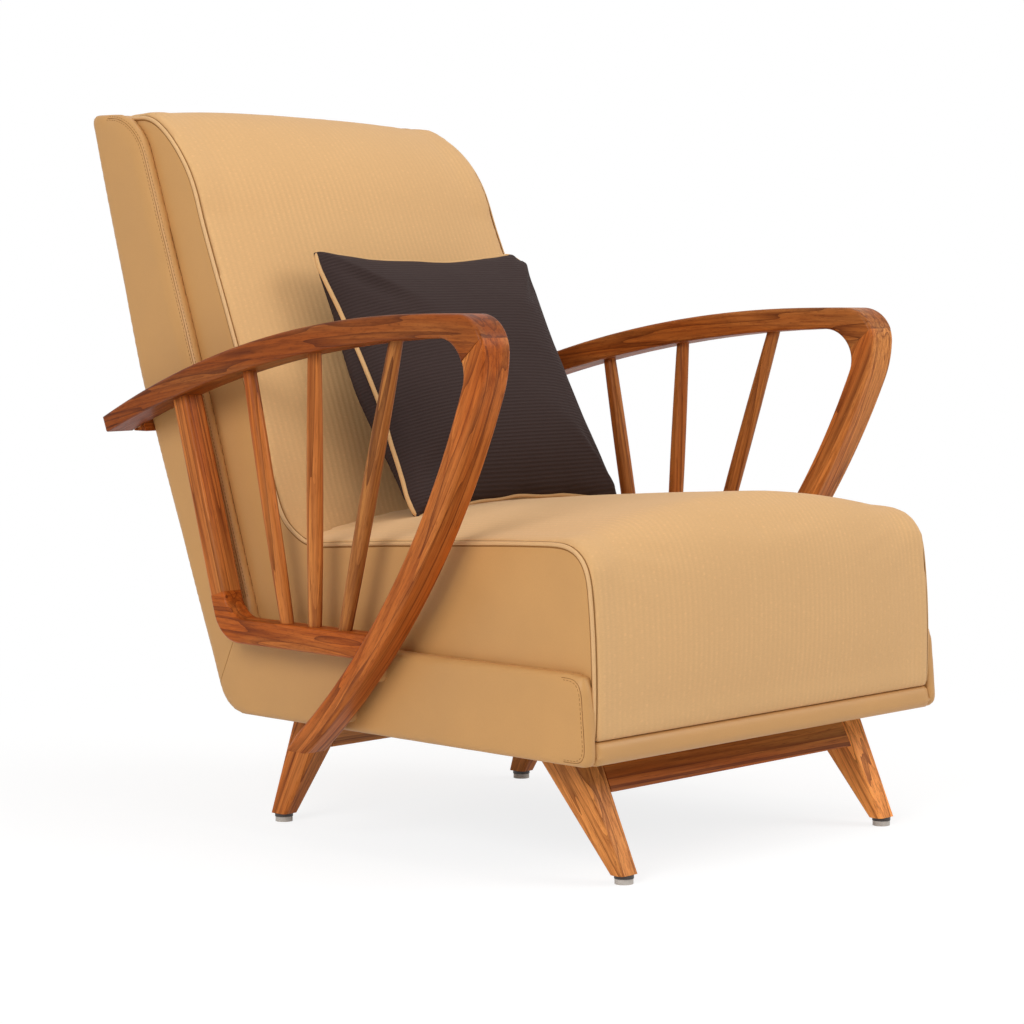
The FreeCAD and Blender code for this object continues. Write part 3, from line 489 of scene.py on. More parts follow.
def hide_grain():
    """Fine pebble of a smooth cover, with broad soft unevenness."""
    if "hide_grain" in bpy.data.node_groups:
        return bpy.data.node_groups["hide_grain"]
    tree, given, out = new_group(
        "hide_grain", (("NodeSocketVector", "Vector", None),), ("Pebble", "Tone", "Height")
    )
    cells = tree.nodes.new("ShaderNodeTexVoronoi")
    cells.inputs["Scale"].default_value = 620
    feed(tree, given["Vector"], cells.inputs["Vector"])
    pebble = spread(tree, cells.outputs["Distance"], 0.0, 0.8)
    tone = grain_noise(tree, given["Vector"], 9.0, 4.0)
    broad = grain_noise(tree, given["Vector"], 26.0, 2.0)
    feed(tree, pebble, out["Pebble"])
    feed(tree, tone, out["Tone"])
    feed(tree, calc(tree, "MULTIPLY_ADD", pebble, -0.12, broad), out["Height"])
    return tree


def teak_figure():
    """Year rings round a pith on the Y axis, with drawn out streaks, dark veins and pores along Y."""
    if "teak_figure" in bpy.data.node_groups:
        return bpy.data.node_groups["teak_figure"]
    tree, given, out = new_group(
        "teak_figure",
        (
            ("NodeSocketVector", "Vector", None),
            ("NodeSocketFloat", "Rings", 150.0),
            ("NodeSocketFloat", "Warp", 2.2),
        ),
        ("Tone", "Streak", "Vein", "Pore"),
    )
    slow = grain_noise(tree, scaled(tree, given["Vector"], (16, 2.6, 16)), 1.0, 2.0)
    parts = tree.nodes.new("ShaderNodeSeparateXYZ")
    feed(tree, given["Vector"], parts.inputs[0])
    square = calc(tree, "MULTIPLY", parts.outputs[2], parts.outputs[2])
    square = calc(tree, "MULTIPLY_ADD", parts.outputs[0], parts.outputs[0], square)
    radius = calc(tree, "SQRT", square)
    bent = calc(tree, "MULTIPLY", slow, given["Warp"])
    rings = calc(tree, "MULTIPLY_ADD", radius, given["Rings"], bent)
    phase = calc(tree, "FRACT", rings)
    late = calc(tree, "POWER", phase, 2.2)
    band = calc(tree, "FLOOR", rings)
    pick = tree.nodes.new("ShaderNodeTexWhiteNoise")
    pick.noise_dimensions = "1D"
    feed(tree, band, pick.inputs["W"])
    depth = spread(tree, pick.outputs["Value"], 0.0, 1.0, 0.25, 1.0)
    streak = grain_noise(tree, scaled(tree, given["Vector"], (330, 7, 330)), 1.0, 3.0, 0.6)
    pore = grain_noise(tree, scaled(tree, given["Vector"], (1500, 46, 1500)), 1.0, 1.0)
    level = grain_noise(tree, scaled(tree, given["Vector"], (60, 0.5, 60)), 1.0, 1.0, 0.4)
    contour = calc(tree, "FRACT", calc(tree, "MULTIPLY", level, 4.0))
    vein = calc(tree, "POWER", contour, 4.0)
    feed(tree, calc(tree, "MULTIPLY", late, depth), out["Tone"])
    feed(tree, streak, out["Streak"])
    feed(tree, vein, out["Vein"])
    feed(tree, spread(tree, pore, 0.6, 0.72), out["Pore"])
    return tree


def made_once(make):
    """Has a material made the first time it is asked for, and found by its name after that."""
    def get(name, *values, **settings):
        return bpy.data.materials.get(name) or make(name, *values, **settings)

    return get


def new_material(name):
    material = bpy.data.materials.new(name)
    material.use_nodes = True
    tree = material.node_tree
    return material, tree, tree.nodes["Principled BSDF"]


def place_node(tree, turn=None, move=(0, 0, 0)):
    """Object coordinates, turned and moved by a Mapping node where asked."""
    here = tree.nodes.new("ShaderNodeTexCoord").outputs["Object"]
    if turn is None:
        return here
    mapping = tree.nodes.new("ShaderNodeMapping")
    mapping.inputs["Rotation"].default_value = turn
    mapping.inputs["Location"].default_value = move
    feed(tree, here, mapping.inputs["Vector"])
    return mapping.outputs[0]


def place_group(tree, group, vector, **values):
    made = tree.nodes.new("ShaderNodeGroup")
    made.node_tree = group
    feed(tree, vector, made.inputs["Vector"])
    for title, value in values.items():
        made.inputs[title].default_value = value
    return made.outputs


def relief(tree, shader, height, depth, strength=1.0):
    bump = tree.nodes.new("ShaderNodeBump")
    bump.inputs["Distance"].default_value = depth
    bump.inputs["Strength"].default_value = strength
    feed(tree, height, bump.inputs["Height"])
    feed(tree, bump.outputs[0], shader.inputs["Normal"])


def tint(colour, share):
    return (*(c * share for c in colour), 1.0)


@made_once
def ribbed_cloth(name, colour, pitch, length, depth, turn=None, valley_shade=0.96, sheen=0.12):
    material, tree, shader = new_material(name)
    where = place_node(tree, turn)
    weave = place_group(tree, rib_weave(), where, Pitch=pitch, Float=length)
    tone = grain_noise(tree, where, 7.0, 3.0)
    ground = between(tree, spread(tree, tone, 0.3, 0.7), tint(colour, 0.95), tint(colour, 1.04))
    # Painted shade: the colour is darker in the valleys between the ribs, where shade would fall.
    low = between(tree, weave["Rib"], tint(colour, valley_shade), ground)
    lifted = between(tree, calc(tree, "MULTIPLY", weave["Float"], 0.28), low, tint(colour, 1.22))
    worn = between(tree, spread(tree, weave["Slub"], 0.35, 0.7, 0, 0.5), lifted, tint(colour, 0.88))
    feed(tree, worn, shader.inputs["Base Color"])
    shader.inputs["Roughness"].default_value = 0.85
    shader.inputs["Specular IOR Level"].default_value = 0.12
    shader.inputs["Sheen Weight"].default_value = sheen
    shader.inputs["Sheen Roughness"].default_value = 0.5
    relief(tree, shader, weave["Height"], depth)
    return material


@made_once
def smooth_cover(name, colour):
    material, tree, shader = new_material(name)
    where = place_node(tree)
    grain = place_group(tree, hide_grain(), where)
    ground = between(tree, spread(tree, grain["Tone"], 0.3, 0.7), tint(colour, 0.95), tint(colour, 1.05))
    pebbled = between(tree, calc(tree, "MULTIPLY", grain["Pebble"], 0.25), ground, tint(colour, 0.9))
    feed(tree, pebbled, shader.inputs["Base Color"])
    feed(tree, spread(tree, grain["Tone"], 0.3, 0.7, 0.42, 0.52), shader.inputs["Roughness"])
    shader.inputs["Specular IOR Level"].default_value = 0.35
    relief(tree, shader, grain["Height"], 0.0014, 0.35)
    return material


@made_once
def thread(name, colour):
    material, tree, shader = new_material(name)
    twist = grain_noise(tree, scaled(tree, place_node(tree), (1400, 1400, 1400)), 1.0, 1.0)
    feed(tree, between(tree, twist, tint(colour, 0.8), tint(colour, 1.1)), shader.inputs["Base Color"])
    shader.inputs["Roughness"].default_value = 0.7
    shader.inputs["Specular IOR Level"].default_value = 0.1
    return material


def grain_turn(axis):
    """Euler turn that lays a grain direction along Y."""
    return Vector(axis).normalized().rotation_difference(Vector((0, 1, 0))).to_euler()


def bowed(tree, where, bow, middle):
    """Coordinates in which grain that curves along Y lies straight."""
    parts = tree.nodes.new("ShaderNodeSeparateXYZ")
    feed(tree, where, parts.inputs[0])
    along = calc(tree, "SUBTRACT", parts.outputs[1], middle)
    rise = calc(tree, "MULTIPLY", calc(tree, "MULTIPLY", along, along), bow)
    joined = tree.nodes.new("ShaderNodeCombineXYZ")
    feed(tree, parts.outputs[0], joined.inputs[0])
    feed(tree, parts.outputs[1], joined.inputs[1])
    feed(tree, calc(tree, "SUBTRACT", parts.outputs[2], rise), joined.inputs[2])
    return joined.outputs[0]


def teak(node, axis, offset, colours, rings=150.0, warp=2.2, bright=1.0, pale=0.0, bow=0.0):
    """Oiled teak for one solid, with the grain along the axis and the pith set off from its middle."""
    material, tree, shader = new_material("teak_" + node)
    turn = grain_turn(axis)
    low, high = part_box(node)
    middle = (Vector(low) + Vector(high)) / 2
    where = place_node(tree, turn, Vector(offset) - turn.to_matrix() @ middle)
    if bow:
        where = bowed(tree, where, bow, offset[1])
    figure = place_group(tree, teak_figure(), where, Rings=rings, Warp=warp)
    wide = grain_noise(tree, scaled(tree, where, (22, 1.6, 22)), 1.0, 2.0)
    shade = spread(tree, wide, 0.34 - pale, 0.66 - pale)
    warm = between(tree, shade, tint(colours.teak, bright), tint(colours.teak_light, bright))
    streaked = between(
        tree, spread(tree, figure["Streak"], 0.42, 0.72, 0, 0.6), warm, tint(colours.teak_dark, bright * 1.6)
    )
    ringed = between(
        tree, calc(tree, "MULTIPLY", figure["Tone"], 0.5), streaked, tint(colours.teak_dark, bright * 1.2)
    )
    veined = between(
        tree, calc(tree, "MULTIPLY", figure["Vein"], 0.72), ringed, tint(colours.teak_dark, bright * 0.8)
    )
    pored = between(
        tree, calc(tree, "MULTIPLY", figure["Pore"], 0.45), veined, tint(colours.teak_dark, bright * 0.5)
    )
    feed(tree, pored, shader.inputs["Base Color"])
    feed(tree, spread(tree, figure["Streak"], 0.3, 0.7, 0.4, 0.52), shader.inputs["Roughness"])
    shader.inputs["Specular IOR Level"].default_value = 0.06
    shader.inputs["Coat Weight"].default_value = 0.12
    shader.inputs["Coat Roughness"].default_value = 0.3
    relief(tree, shader, figure["Streak"], 0.0003, 0.3)
    return material


@made_once
def plain_wood(name, axis, colour):
    """Sawn softwood of the hidden frame."""
    material, tree, shader = new_material(name)
    where = place_node(tree, grain_turn(axis), (0.08, 0, 0.05))
    figure = place_group(tree, teak_figure(), where, Rings=190.0, Warp=1.5)
    ringed = between(
        tree, calc(tree, "MULTIPLY", figure["Tone"], 0.5), tint(colour, 1.0), tint(colour, 0.62)
    )
    feed(tree, ringed, shader.inputs["Base Color"])
    feed(tree, spread(tree, figure["Streak"], 0.3, 0.7, 0.6, 0.75), shader.inputs["Roughness"])
    relief(tree, shader, figure["Streak"], 0.0004, 0.4)
    return material


@made_once
def strap_weave(name, colour, pitch):
    """Flat woven strap or cloth with a fine square weave."""
    material, tree, shader = new_material(name)
    weave = place_group(tree, rib_weave(), place_node(tree), Pitch=pitch, Float=pitch * 2)
    woven = between(tree, weave["Height"], tint(colour, 0.6), tint(colour, 1.1))
    feed(tree, woven, shader.inputs["Base Color"])
    shader.inputs["Roughness"].default_value = 0.85
    relief(tree, shader, weave["Height"], 0.0004, 0.6)
    return material


@made_once
def bare_metal(name, colour):
    material, tree, shader = new_material(name)
    brushed = grain_noise(tree, scaled(tree, place_node(tree), (900, 900, 120)), 1.0, 2.0)
    feed(tree, between(tree, brushed, tint(colour, 0.85), tint(colour, 1.1)), shader.inputs["Base Color"])
    feed(tree, spread(tree, brushed, 0.3, 0.7, 0.28, 0.42), shader.inputs["Roughness"])
    shader.inputs["Metallic"].default_value = 1.0
    return material


@made_once
def moulded(name, colour, roughness):
    """Moulded plastic with a faint texture and scuffs."""
    material, tree, shader = new_material(name)
    scuff = grain_noise(tree, scaled(tree, place_node(tree), (260, 260, 260)), 1.0, 3.0)
    feed(tree, between(tree, scuff, tint(colour, 0.85), tint(colour, 1.15)), shader.inputs["Base Color"])
    feed(
        tree, spread(tree, scuff, 0.3, 0.7, roughness, roughness + 0.15), shader.inputs["Roughness"]
    )
    relief(tree, shader, scuff, 0.0002, 0.3)
    return material


# Sizes and colours that a user would change
class ChairSizes(bpy.types.PropertyGroup):
    rib_pitch: FloatProperty(
        name="Rib pitch", description="Spacing of the ribs on the seat and back cloth",
        default=0.0086, min=0.002, max=0.02, unit="LENGTH",
    )
    rib_float: FloatProperty(
        name="Float length", description="Length of the raised floats along a rib",
        default=0.0095, min=0.003, max=0.04, unit="LENGTH",
    )
    cushion_rib: FloatProperty(
        name="Cushion rib", description="Spacing of the fine ribs on the scatter cushion",
        default=0.0042, min=0.001, max=0.01, unit="LENGTH",
    )
    welt: FloatProperty(
        name="Welt radius", description="Radius of the welt along the cushions' side seams",
        default=0.0023, min=0.001, max=0.006, unit="LENGTH",
    )
    piping: FloatProperty(
        name="Piping radius", description="Radius of the scatter cushion's piping",
        default=0.0029, min=0.001, max=0.006, unit="LENGTH",
    )
    seam_inset: FloatProperty(
        name="Seam inset", description="Distance of the topstitched seam from the tub's edge",
        default=0.0045, min=0.002, max=0.03, unit="LENGTH",
    )
    pad_voxel: FloatProperty(
        name="Pad mesh", description="Mesh size of the padded pieces before their subdivision",
        default=0.006, min=0.003, max=0.012, unit="LENGTH",
    )
    pressure: FloatProperty(
        name="Stuffing pressure", description="Pressure that blows up the padded pieces",
        default=4.0, min=0.0,
    )


def colour_value(name, description, default):
    return FloatVectorProperty(
        name=name, description=description, default=default, subtype="COLOR", size=3, min=0.0, max=1.0
    )


class ChairColours(bpy.types.PropertyGroup):
    cloth: colour_value("Ribbed cloth", "Ribbed cloth of the seat and the back", (0.74, 0.44, 0.195))
    cover: colour_value("Smooth cover", "Cover of the tub and the cushions' sides", (0.585, 0.308, 0.106))
    seam: colour_value("Seam", "Shaded line of the sewn seams", (0.31, 0.145, 0.045))
    stitch: colour_value("Stitch", "Yarn of the topstitching", (0.36, 0.18, 0.06))
    cushion: colour_value("Scatter cushion", "Cloth of the scatter cushion", (0.050, 0.032, 0.029))
    piping: colour_value("Piping", "Piping round the scatter cushion", (0.70, 0.42, 0.19))
    teak: colour_value("Teak", "Main tone of the teak", (0.47, 0.105, 0.013))
    teak_light: colour_value("Light teak", "Lighter zones of the teak", (0.64, 0.245, 0.062))
    teak_dark: colour_value("Dark teak", "Late wood and veins of the teak", (0.11, 0.018, 0.003))
    frame_wood: colour_value("Frame wood", "Softwood of the hidden frame", (0.60, 0.42, 0.24))
    webbing: colour_value("Webbing", "Elastic straps under the cushions", (0.07, 0.065, 0.06))
    dust_cloth: colour_value("Dust cloth", "Cloth under the seat", (0.03, 0.03, 0.032))


# Operators, one for each piece or group of like pieces
def pad_edge_hold(half, place, soft):
    """1 at a cushion's side seams, 0 well inside them."""
    return 1 - ramp(half_at(half, place.y) - abs(place.x), 0.004, soft)


def tuck_sides(piece):
    """Draws a cushion in at its sides, to leave room for the side panels."""
    def move(place, normal):
        room = half_at(PAD_HALF, place.y) - abs(place.x)
        if room > TUCK_REACH:
            return Vector()
        tucked = TUCK + max(room, 0) * (TUCK_REACH - TUCK) / TUCK_REACH
        return Vector((math.copysign(tucked - room, -place.x), 0, 0))

    shift_spots(piece, move)


class CHAIR_OT_seat_cushion(bpy.types.Operator):
    """Stuff the seat cushion and cover it in ribbed cloth"""
    bl_idname = "chair.seat_cushion"
    bl_label = "Seat cushion"

    def execute(self, context):
        sizes = context.scene.chair_sizes
        piece = pad_block("seat_cushion", sizes.pad_voxel, "seat_pad")

        def held(place, normal):
            side = pad_edge_hold(PAD_HALF, place, 0.05)
            foot = 1 - ramp(place.z, LIP_TOP + 0.004, LIP_TOP + 0.04)
            under = 1.0 if normal.z < -0.5 else 0.0
            rear = 1 - ramp(seat_meets_back(place.z) - place.y, 0.006, 0.05)
            return max(side, foot, under, rear)

        stuff(piece, held, 0.003, 0.006, sizes.pressure)
        soften(piece, 4)
        tuck_sides(piece)
        refine(piece)
        dress(piece, seat_cloth(context))
        belongs(piece, "chair", "tan_weave", "seat_pad")
        return {"FINISHED"}


class CHAIR_OT_back_cushion(bpy.types.Operator):
    """Stuff the back cushion and cover it in ribbed cloth"""
    bl_idname = "chair.back_cushion"
    bl_label = "Back cushion"

    def execute(self, context):
        sizes = context.scene.chair_sizes
        piece = pad_block("back_cushion", sizes.pad_voxel, "back_pad")

        def held(place, normal):
            side = pad_edge_hold(PAD_HALF, place, 0.05)
            foot = 1 - ramp(place.z, 0.37, 0.42)
            rear = ramp(normal.y, 0.3, 0.6)
            top = ramp(place.y, 0.34, 0.38)
            return max(side, foot, rear, top)

        stuff(piece, held, 0.003, 0.006, sizes.pressure)
        soften(piece, 4)
        shift_spots(piece, self.full_end)
        tuck_sides(piece)
        refine(piece)
        dress(piece, seat_cloth(context))
        belongs(piece, "chair", "tan_weave", "back_pad")
        return {"FINISHED"}

    def full_end(self, place, normal):
        """The stuffing stands fuller at one end of the crest."""
        return Vector((0, 0, CREST_FULLNESS * ramp(place.z, 0.79, 0.84) * ramp(-place.x, -0.05, 0.2)))


def seat_cloth(context):
    sizes = context.scene.chair_sizes
    colour = context.scene.chair_colours.cloth
    return ribbed_cloth("ribbed_tan_cloth", colour, sizes.rib_pitch, sizes.rib_float, 0.00015)


def tan_cover(context):
    return smooth_cover("smooth_tan_cover", context.scene.chair_colours.cover)


def pad_seam(side):
    """Path of the cushions' side seam, from the back's top over the inside corner to the seat's foot."""
    outward = Vector((side, TAPER, 0)).normalized()
    point = Vector((side * (PAD_HALF - 0.008), WIDTH_DATUM, 0))
    runs = []
    for name, low in (("back_cushion", 0.345), ("seat_cushion", LIP_TOP)):
        piece = bpy.data.objects.get(name)
        if piece is None:
            raise RuntimeError("make the seat and back cushions before their side seams")

        def keep(place, normal):
            return normal.z > -0.5 and normal.y < 0.72 and place.z > low

        run = cut_path(piece, point, outward, keep)
        runs.append(run if run[0].z > run[-1].z else run[::-1])
    back, seat = runs
    seat = seat if seat[0].y > seat[-1].y else seat[::-1]
    corner = Vector((back[-1].x, back[-1].y, seat[0].z))
    path = [p for p in back if (p - corner).length > 0.03] + [p for p in seat if (p - corner).length > 0.03]
    path = calm_path(even_path(path, 0.006), 12)
    run = np.gradient(path, axis=0)
    run /= np.linalg.norm(run, axis=1)[:, None]
    path[:, 1] -= run[:, 2] * 0.005
    path[:, 2] += run[:, 1] * 0.005
    return path


def seam_shade(context):
    return thread("seam_shade", context.scene.chair_colours.seam)


class CHAIR_OT_side_panels(bpy.types.Operator):
    """Cut the smooth panels along the cushions' sides, and lay the welts along their seams with dark cords of
    painted shade beside them
    """
    bl_idname = "chair.side_panels"
    bl_label = "Cushion sides and welts"

    def execute(self, context):
        welt = context.scene.chair_sizes.welt
        cover, shade = tan_cover(context), seam_shade(context)
        tube = smooth_cover("light_welt_cover", context.scene.chair_colours.piping)
        # Cords side by side along the seam: set off from the pad's side, set off from the seam line, radius
        cords = (
            ("welt", -0.0002, 0.0, welt, tube),
            # The two crease cords are painted shade: dark lines in the crevices on either side of the welt.
            ("crease_outer", -0.0003, -0.0027, 0.0012, shade),
            ("crease_inner", -0.0020, 0.0019, 0.0008, shade),
        )
        for name, side in SIDES.items():
            seam = pad_seam(side)
            self.panel(name, side, seam, cover)
            for title, off, proud, radius, material in cords:
                self.cord("%s_%s" % (title, name), side, seam, PAD_HALF + off, proud, radius, material)
        return {"FINISHED"}

    def cord(self, name, side, seam, half, proud, radius, material):
        points = seam.copy()
        run = np.gradient(points, axis=0)
        run /= np.linalg.norm(run, axis=1)[:, None]
        points[:, 1] += run[:, 2] * proud
        points[:, 2] -= run[:, 1] * proud
        points[:, 0] = side * (half - TAPER * (points[:, 1] - WIDTH_DATUM))
        piece = cord_mesh(name, points, radius, material, sides=3)
        belongs(piece, "chair", "tan_cover")

    def panel(self, name, side, seam, cover):
        """Crowned panel from the seam down to where the tub hides it."""
        low, foot, hidden, clear = TRAY_TOP - 0.0175, LIP_TOP + 0.003, 0.02, 0.02
        top, end = Vector(seam[0]), seam[-1][1]
        shown = [(p[1], p[2]) for p in seam if p[2] > foot + clear and (Vector(p) - top).length > clear]
        shown.insert(0, (top.y, top.z))
        rear = [(top.y, 0.81)]
        rear += [(tub_front_edge(z) + hidden, z) for z in (0.775, 0.66, 0.523, 0.38, low)]
        front = [(end, foot), (end + 0.034, foot), (end + 0.034, low)]
        bm = bmesh.new()
        face = bm.faces.new([bm.verts.new((0, y, z)) for y, z in shown + front + rear[::-1]])
        made = bmesh.ops.extrude_face_region(bm, geom=[face])["geom"]
        raised = [v for v in made if isinstance(v, bmesh.types.BMVert)]
        bmesh.ops.translate(bm, verts=raised, vec=(0.0032, 0, 0))
        bmesh.ops.recalc_face_normals(bm, faces=bm.faces)
        outer = next(f for f in bm.faces if f.normal.x > 0.99)
        for inset, rise in ((0.0012, 0.0006), (0.003, 0.0008), (0.005, 0.0007), (0.003, 0.0002)):
            bmesh.ops.inset_region(bm, faces=[outer], thickness=inset, depth=rise, use_even_offset=True)
        bmesh.ops.transform(bm, matrix=onto_side(side, PAD_HALF - 0.0045), verts=bm.verts)
        bmesh.ops.recalc_face_normals(bm, faces=bm.faces)
        piece = piece_from("side_panel_" + name, bm, cover)
        belongs(piece, "chair", "tan_cover")


def tub_outline(inset=0.0):
    """Points of the tub's rounded outline in side view, or of a line that runs inside it."""
    bm = bmesh.new()
    verts = [bm.verts.new((0, y, z)) for y, z, _ in TUB_OUTLINE]
    bm.faces.new(verts)
    for i, vert in enumerate(verts):
        radius = TUB_OUTLINE[i][2]
        before = (Vector(TUB_OUTLINE[i - 1][:2]) - Vector(TUB_OUTLINE[i][:2])).normalized()
        after = (Vector(TUB_OUTLINE[(i + 1) % 8][:2]) - Vector(TUB_OUTLINE[i][:2])).normalized()
        reach = radius / math.tan(before.angle(after) / 2)
        bmesh.ops.bevel(
            bm, geom=[vert], offset=reach, offset_type="OFFSET", affect="VERTICES",
            segments=10, profile=0.5, material=-1,
        )
    face = bm.faces[:][0]
    if inset:
        bmesh.ops.inset_region(bm, faces=[face], thickness=inset, use_boundary=True, use_even_offset=True)
    points = np.array([(l.vert.co.y, l.vert.co.z) for l in face.loops])
    bm.free()
    return points


def front_run(points, part):
    """The stretch of a line round the tub that follows the front edge of its back or of its seat."""
    y, z = points[:, 0], points[:, 1]
    if part == "back":
        along_front = y < np.array([tub_front_edge(height) for height in z]) + 0.05
        taken = (z > 0.27) & (along_front | (z > 0.825)) & (y < 0.405)
    else:
        taken = y < -0.385
    start = next(i for i in range(len(points)) if taken[i] and not taken[i - 1])
    return np.roll(points, -start, 0)[: int(taken.sum())]


class CHAIR_OT_tub_sides(bpy.types.Operator):
    """Pad the tub's sides and topstitch the seams along their front edges"""
    bl_idname = "chair.tub_sides"
    bl_label = "Tub sides"

    def execute(self, context):
        inset = context.scene.chair_sizes.seam_inset
        colours = context.scene.chair_colours
        cover, shade = tan_cover(context), seam_shade(context)
        yarn = thread("stitch_yarn", colours.stitch)
        # Painted shade: a darker copy of the cover, laid as a thin line along the mitre seam.
        mitre_shade = thread("mitre_fold", [c * 0.68 for c in colours.cover])
        for name, side in SIDES.items():
            nodes = ("seat_side_" + name, "back_side_" + name)
            piece = pad_block("tub_side_" + name, 0.004, *nodes)
            soften(piece, 6)
            self.roll_over(piece, side)
            dress(piece, cover)
            belongs(piece, "chair", "tan_cover", *nodes)
            surface = surface_of(piece)
            place = onto_side(side, TUB_OUTER)
            rows = bmesh.new()
            for part, spaces in (("back", (-0.0021, 0.0021)), ("seat", (0.0021,))):
                path = self.path(inset, part, place)
                # Painted shade: each seam is a thin dark cord on the surface, standing for the shade in the
                # seam's groove.
                self.seam("seam_%s_%s" % (part, name), surface, side, path, 0.0004, shade)
                for space in spaces:
                    path = self.path(inset + space, part, place)
                    stitch_row(rows, surface, side, path, 0.003, 0.0018, 0.0007, 0.0007)
            # Painted shade: a dark cord along the tub's front edge stands for the shade in the gap beside the
            # pad.
            edge = [Vector(p) for p in self.path(0.0016, "back", onto_side(side, TUB_INNER - 0.0004))]
            belongs(cord_mesh("edge_shade_" + name, edge, 0.0012, shade), "chair", "tan_cover")
            belongs(piece_from("stitches_" + name, rows, yarn), "chair", "tan_cover")
            mitre = [place @ Vector((0, *spot)) for spot in MITRE]
            self.seam("seam_mitre_" + name, surface, side, even_path(mitre, 0.004), 0.0004, mitre_shade)
        return {"FINISHED"}

    def path(self, inset, part, place):
        """Line inside the tub's front edge, stood on the side."""
        run = front_run(even_path(tub_outline(inset), 0.004, closed=True), part)
        path = [place @ Vector((0, y, z)) for y, z in run]
        return calm_path(even_path(path, 0.004), 6)

    def roll_over(self, piece, side):
        """Tightens the front corner and rolls the outer face over toward the front edges."""
        outline = tub_outline()
        places = spots(piece.data)
        corner = np.array(TUB_OUTLINE[1][:2]) - places[:, 1:]
        near = np.clip(1 - np.linalg.norm(corner, axis=1) / 0.026, 0, 1) ** 2
        places[:, 1:] += corner * near[:, None]
        rim = room_to(np.vstack((outline, outline[:1])), places[:, 1:])
        drop = 0.0008 * np.clip(1 - rim / 0.012, 0, 1) ** 2
        for part, depth, reach in (("back", 0.0055, 0.026), ("seat", 0.0018, 0.016)):
            room = room_to(front_run(even_path(outline, 0.012, closed=True), part), places[:, 1:])
            drop += depth * np.clip(1 - room / reach, 0, 1) ** 2
        inner = half_at(TUB_INNER, places[:, 1])
        thick = np.abs(places[:, 0]) - inner
        places[:, 0] = side * (inner + thick * (1 - drop / (TUB_OUTER - TUB_INNER)))
        put_spots(piece.data, places)

    def seam(self, name, surface, side, path, radius, material):
        # Lays a thin cord on the side's surface; the seam lines drawn with it in dark colours are painted
        # shade.
        points = [drop_on(surface, point, side)[0] for point in path]
        belongs(cord_mesh(name, points, radius, material, sides=1), "chair", "tan_cover")


class CHAIR_OT_tub_back(bpy.types.Operator):
    """Stretch the rear cover of the tub and the lip under the seat's front"""
    bl_idname = "chair.tub_back"
    bl_label = "Rear cover and front lip"

    def execute(self, context):
        cover = tan_cover(context)
        for name, node, voxel in (("rear_cover", "tub_back", 0.005), ("front_band", "front_lip", 0.004)):
            piece = pad_block(name, voxel, node)
            soften(piece, 4)
            dress(piece, cover)
            belongs(piece, "chair", "tan_cover", node)
        return {"FINISHED"}


def cushion_seam(angle):
    """Distance of the scatter cushion's seam from its middle, by the angle in its plane."""
    share = np.linspace(0, 1, 40, endpoint=False)[:, None]
    corners = np.array(CUSHION_CORNERS)
    sides = []
    for start, end in zip(corners, np.roll(corners, -1, 0)):
        run = end - start
        inward = np.array((-run[1], run[0])) / np.linalg.norm(run)
        sides.append(start + run * share + inward * CUSHION_PULL * 4 * share * (1 - share))
    seam = np.vstack(sides)
    around = np.arctan2(seam[:, 1], seam[:, 0])
    return np.interp(angle, around, np.hypot(seam[:, 0], seam[:, 1]), period=2 * np.pi)


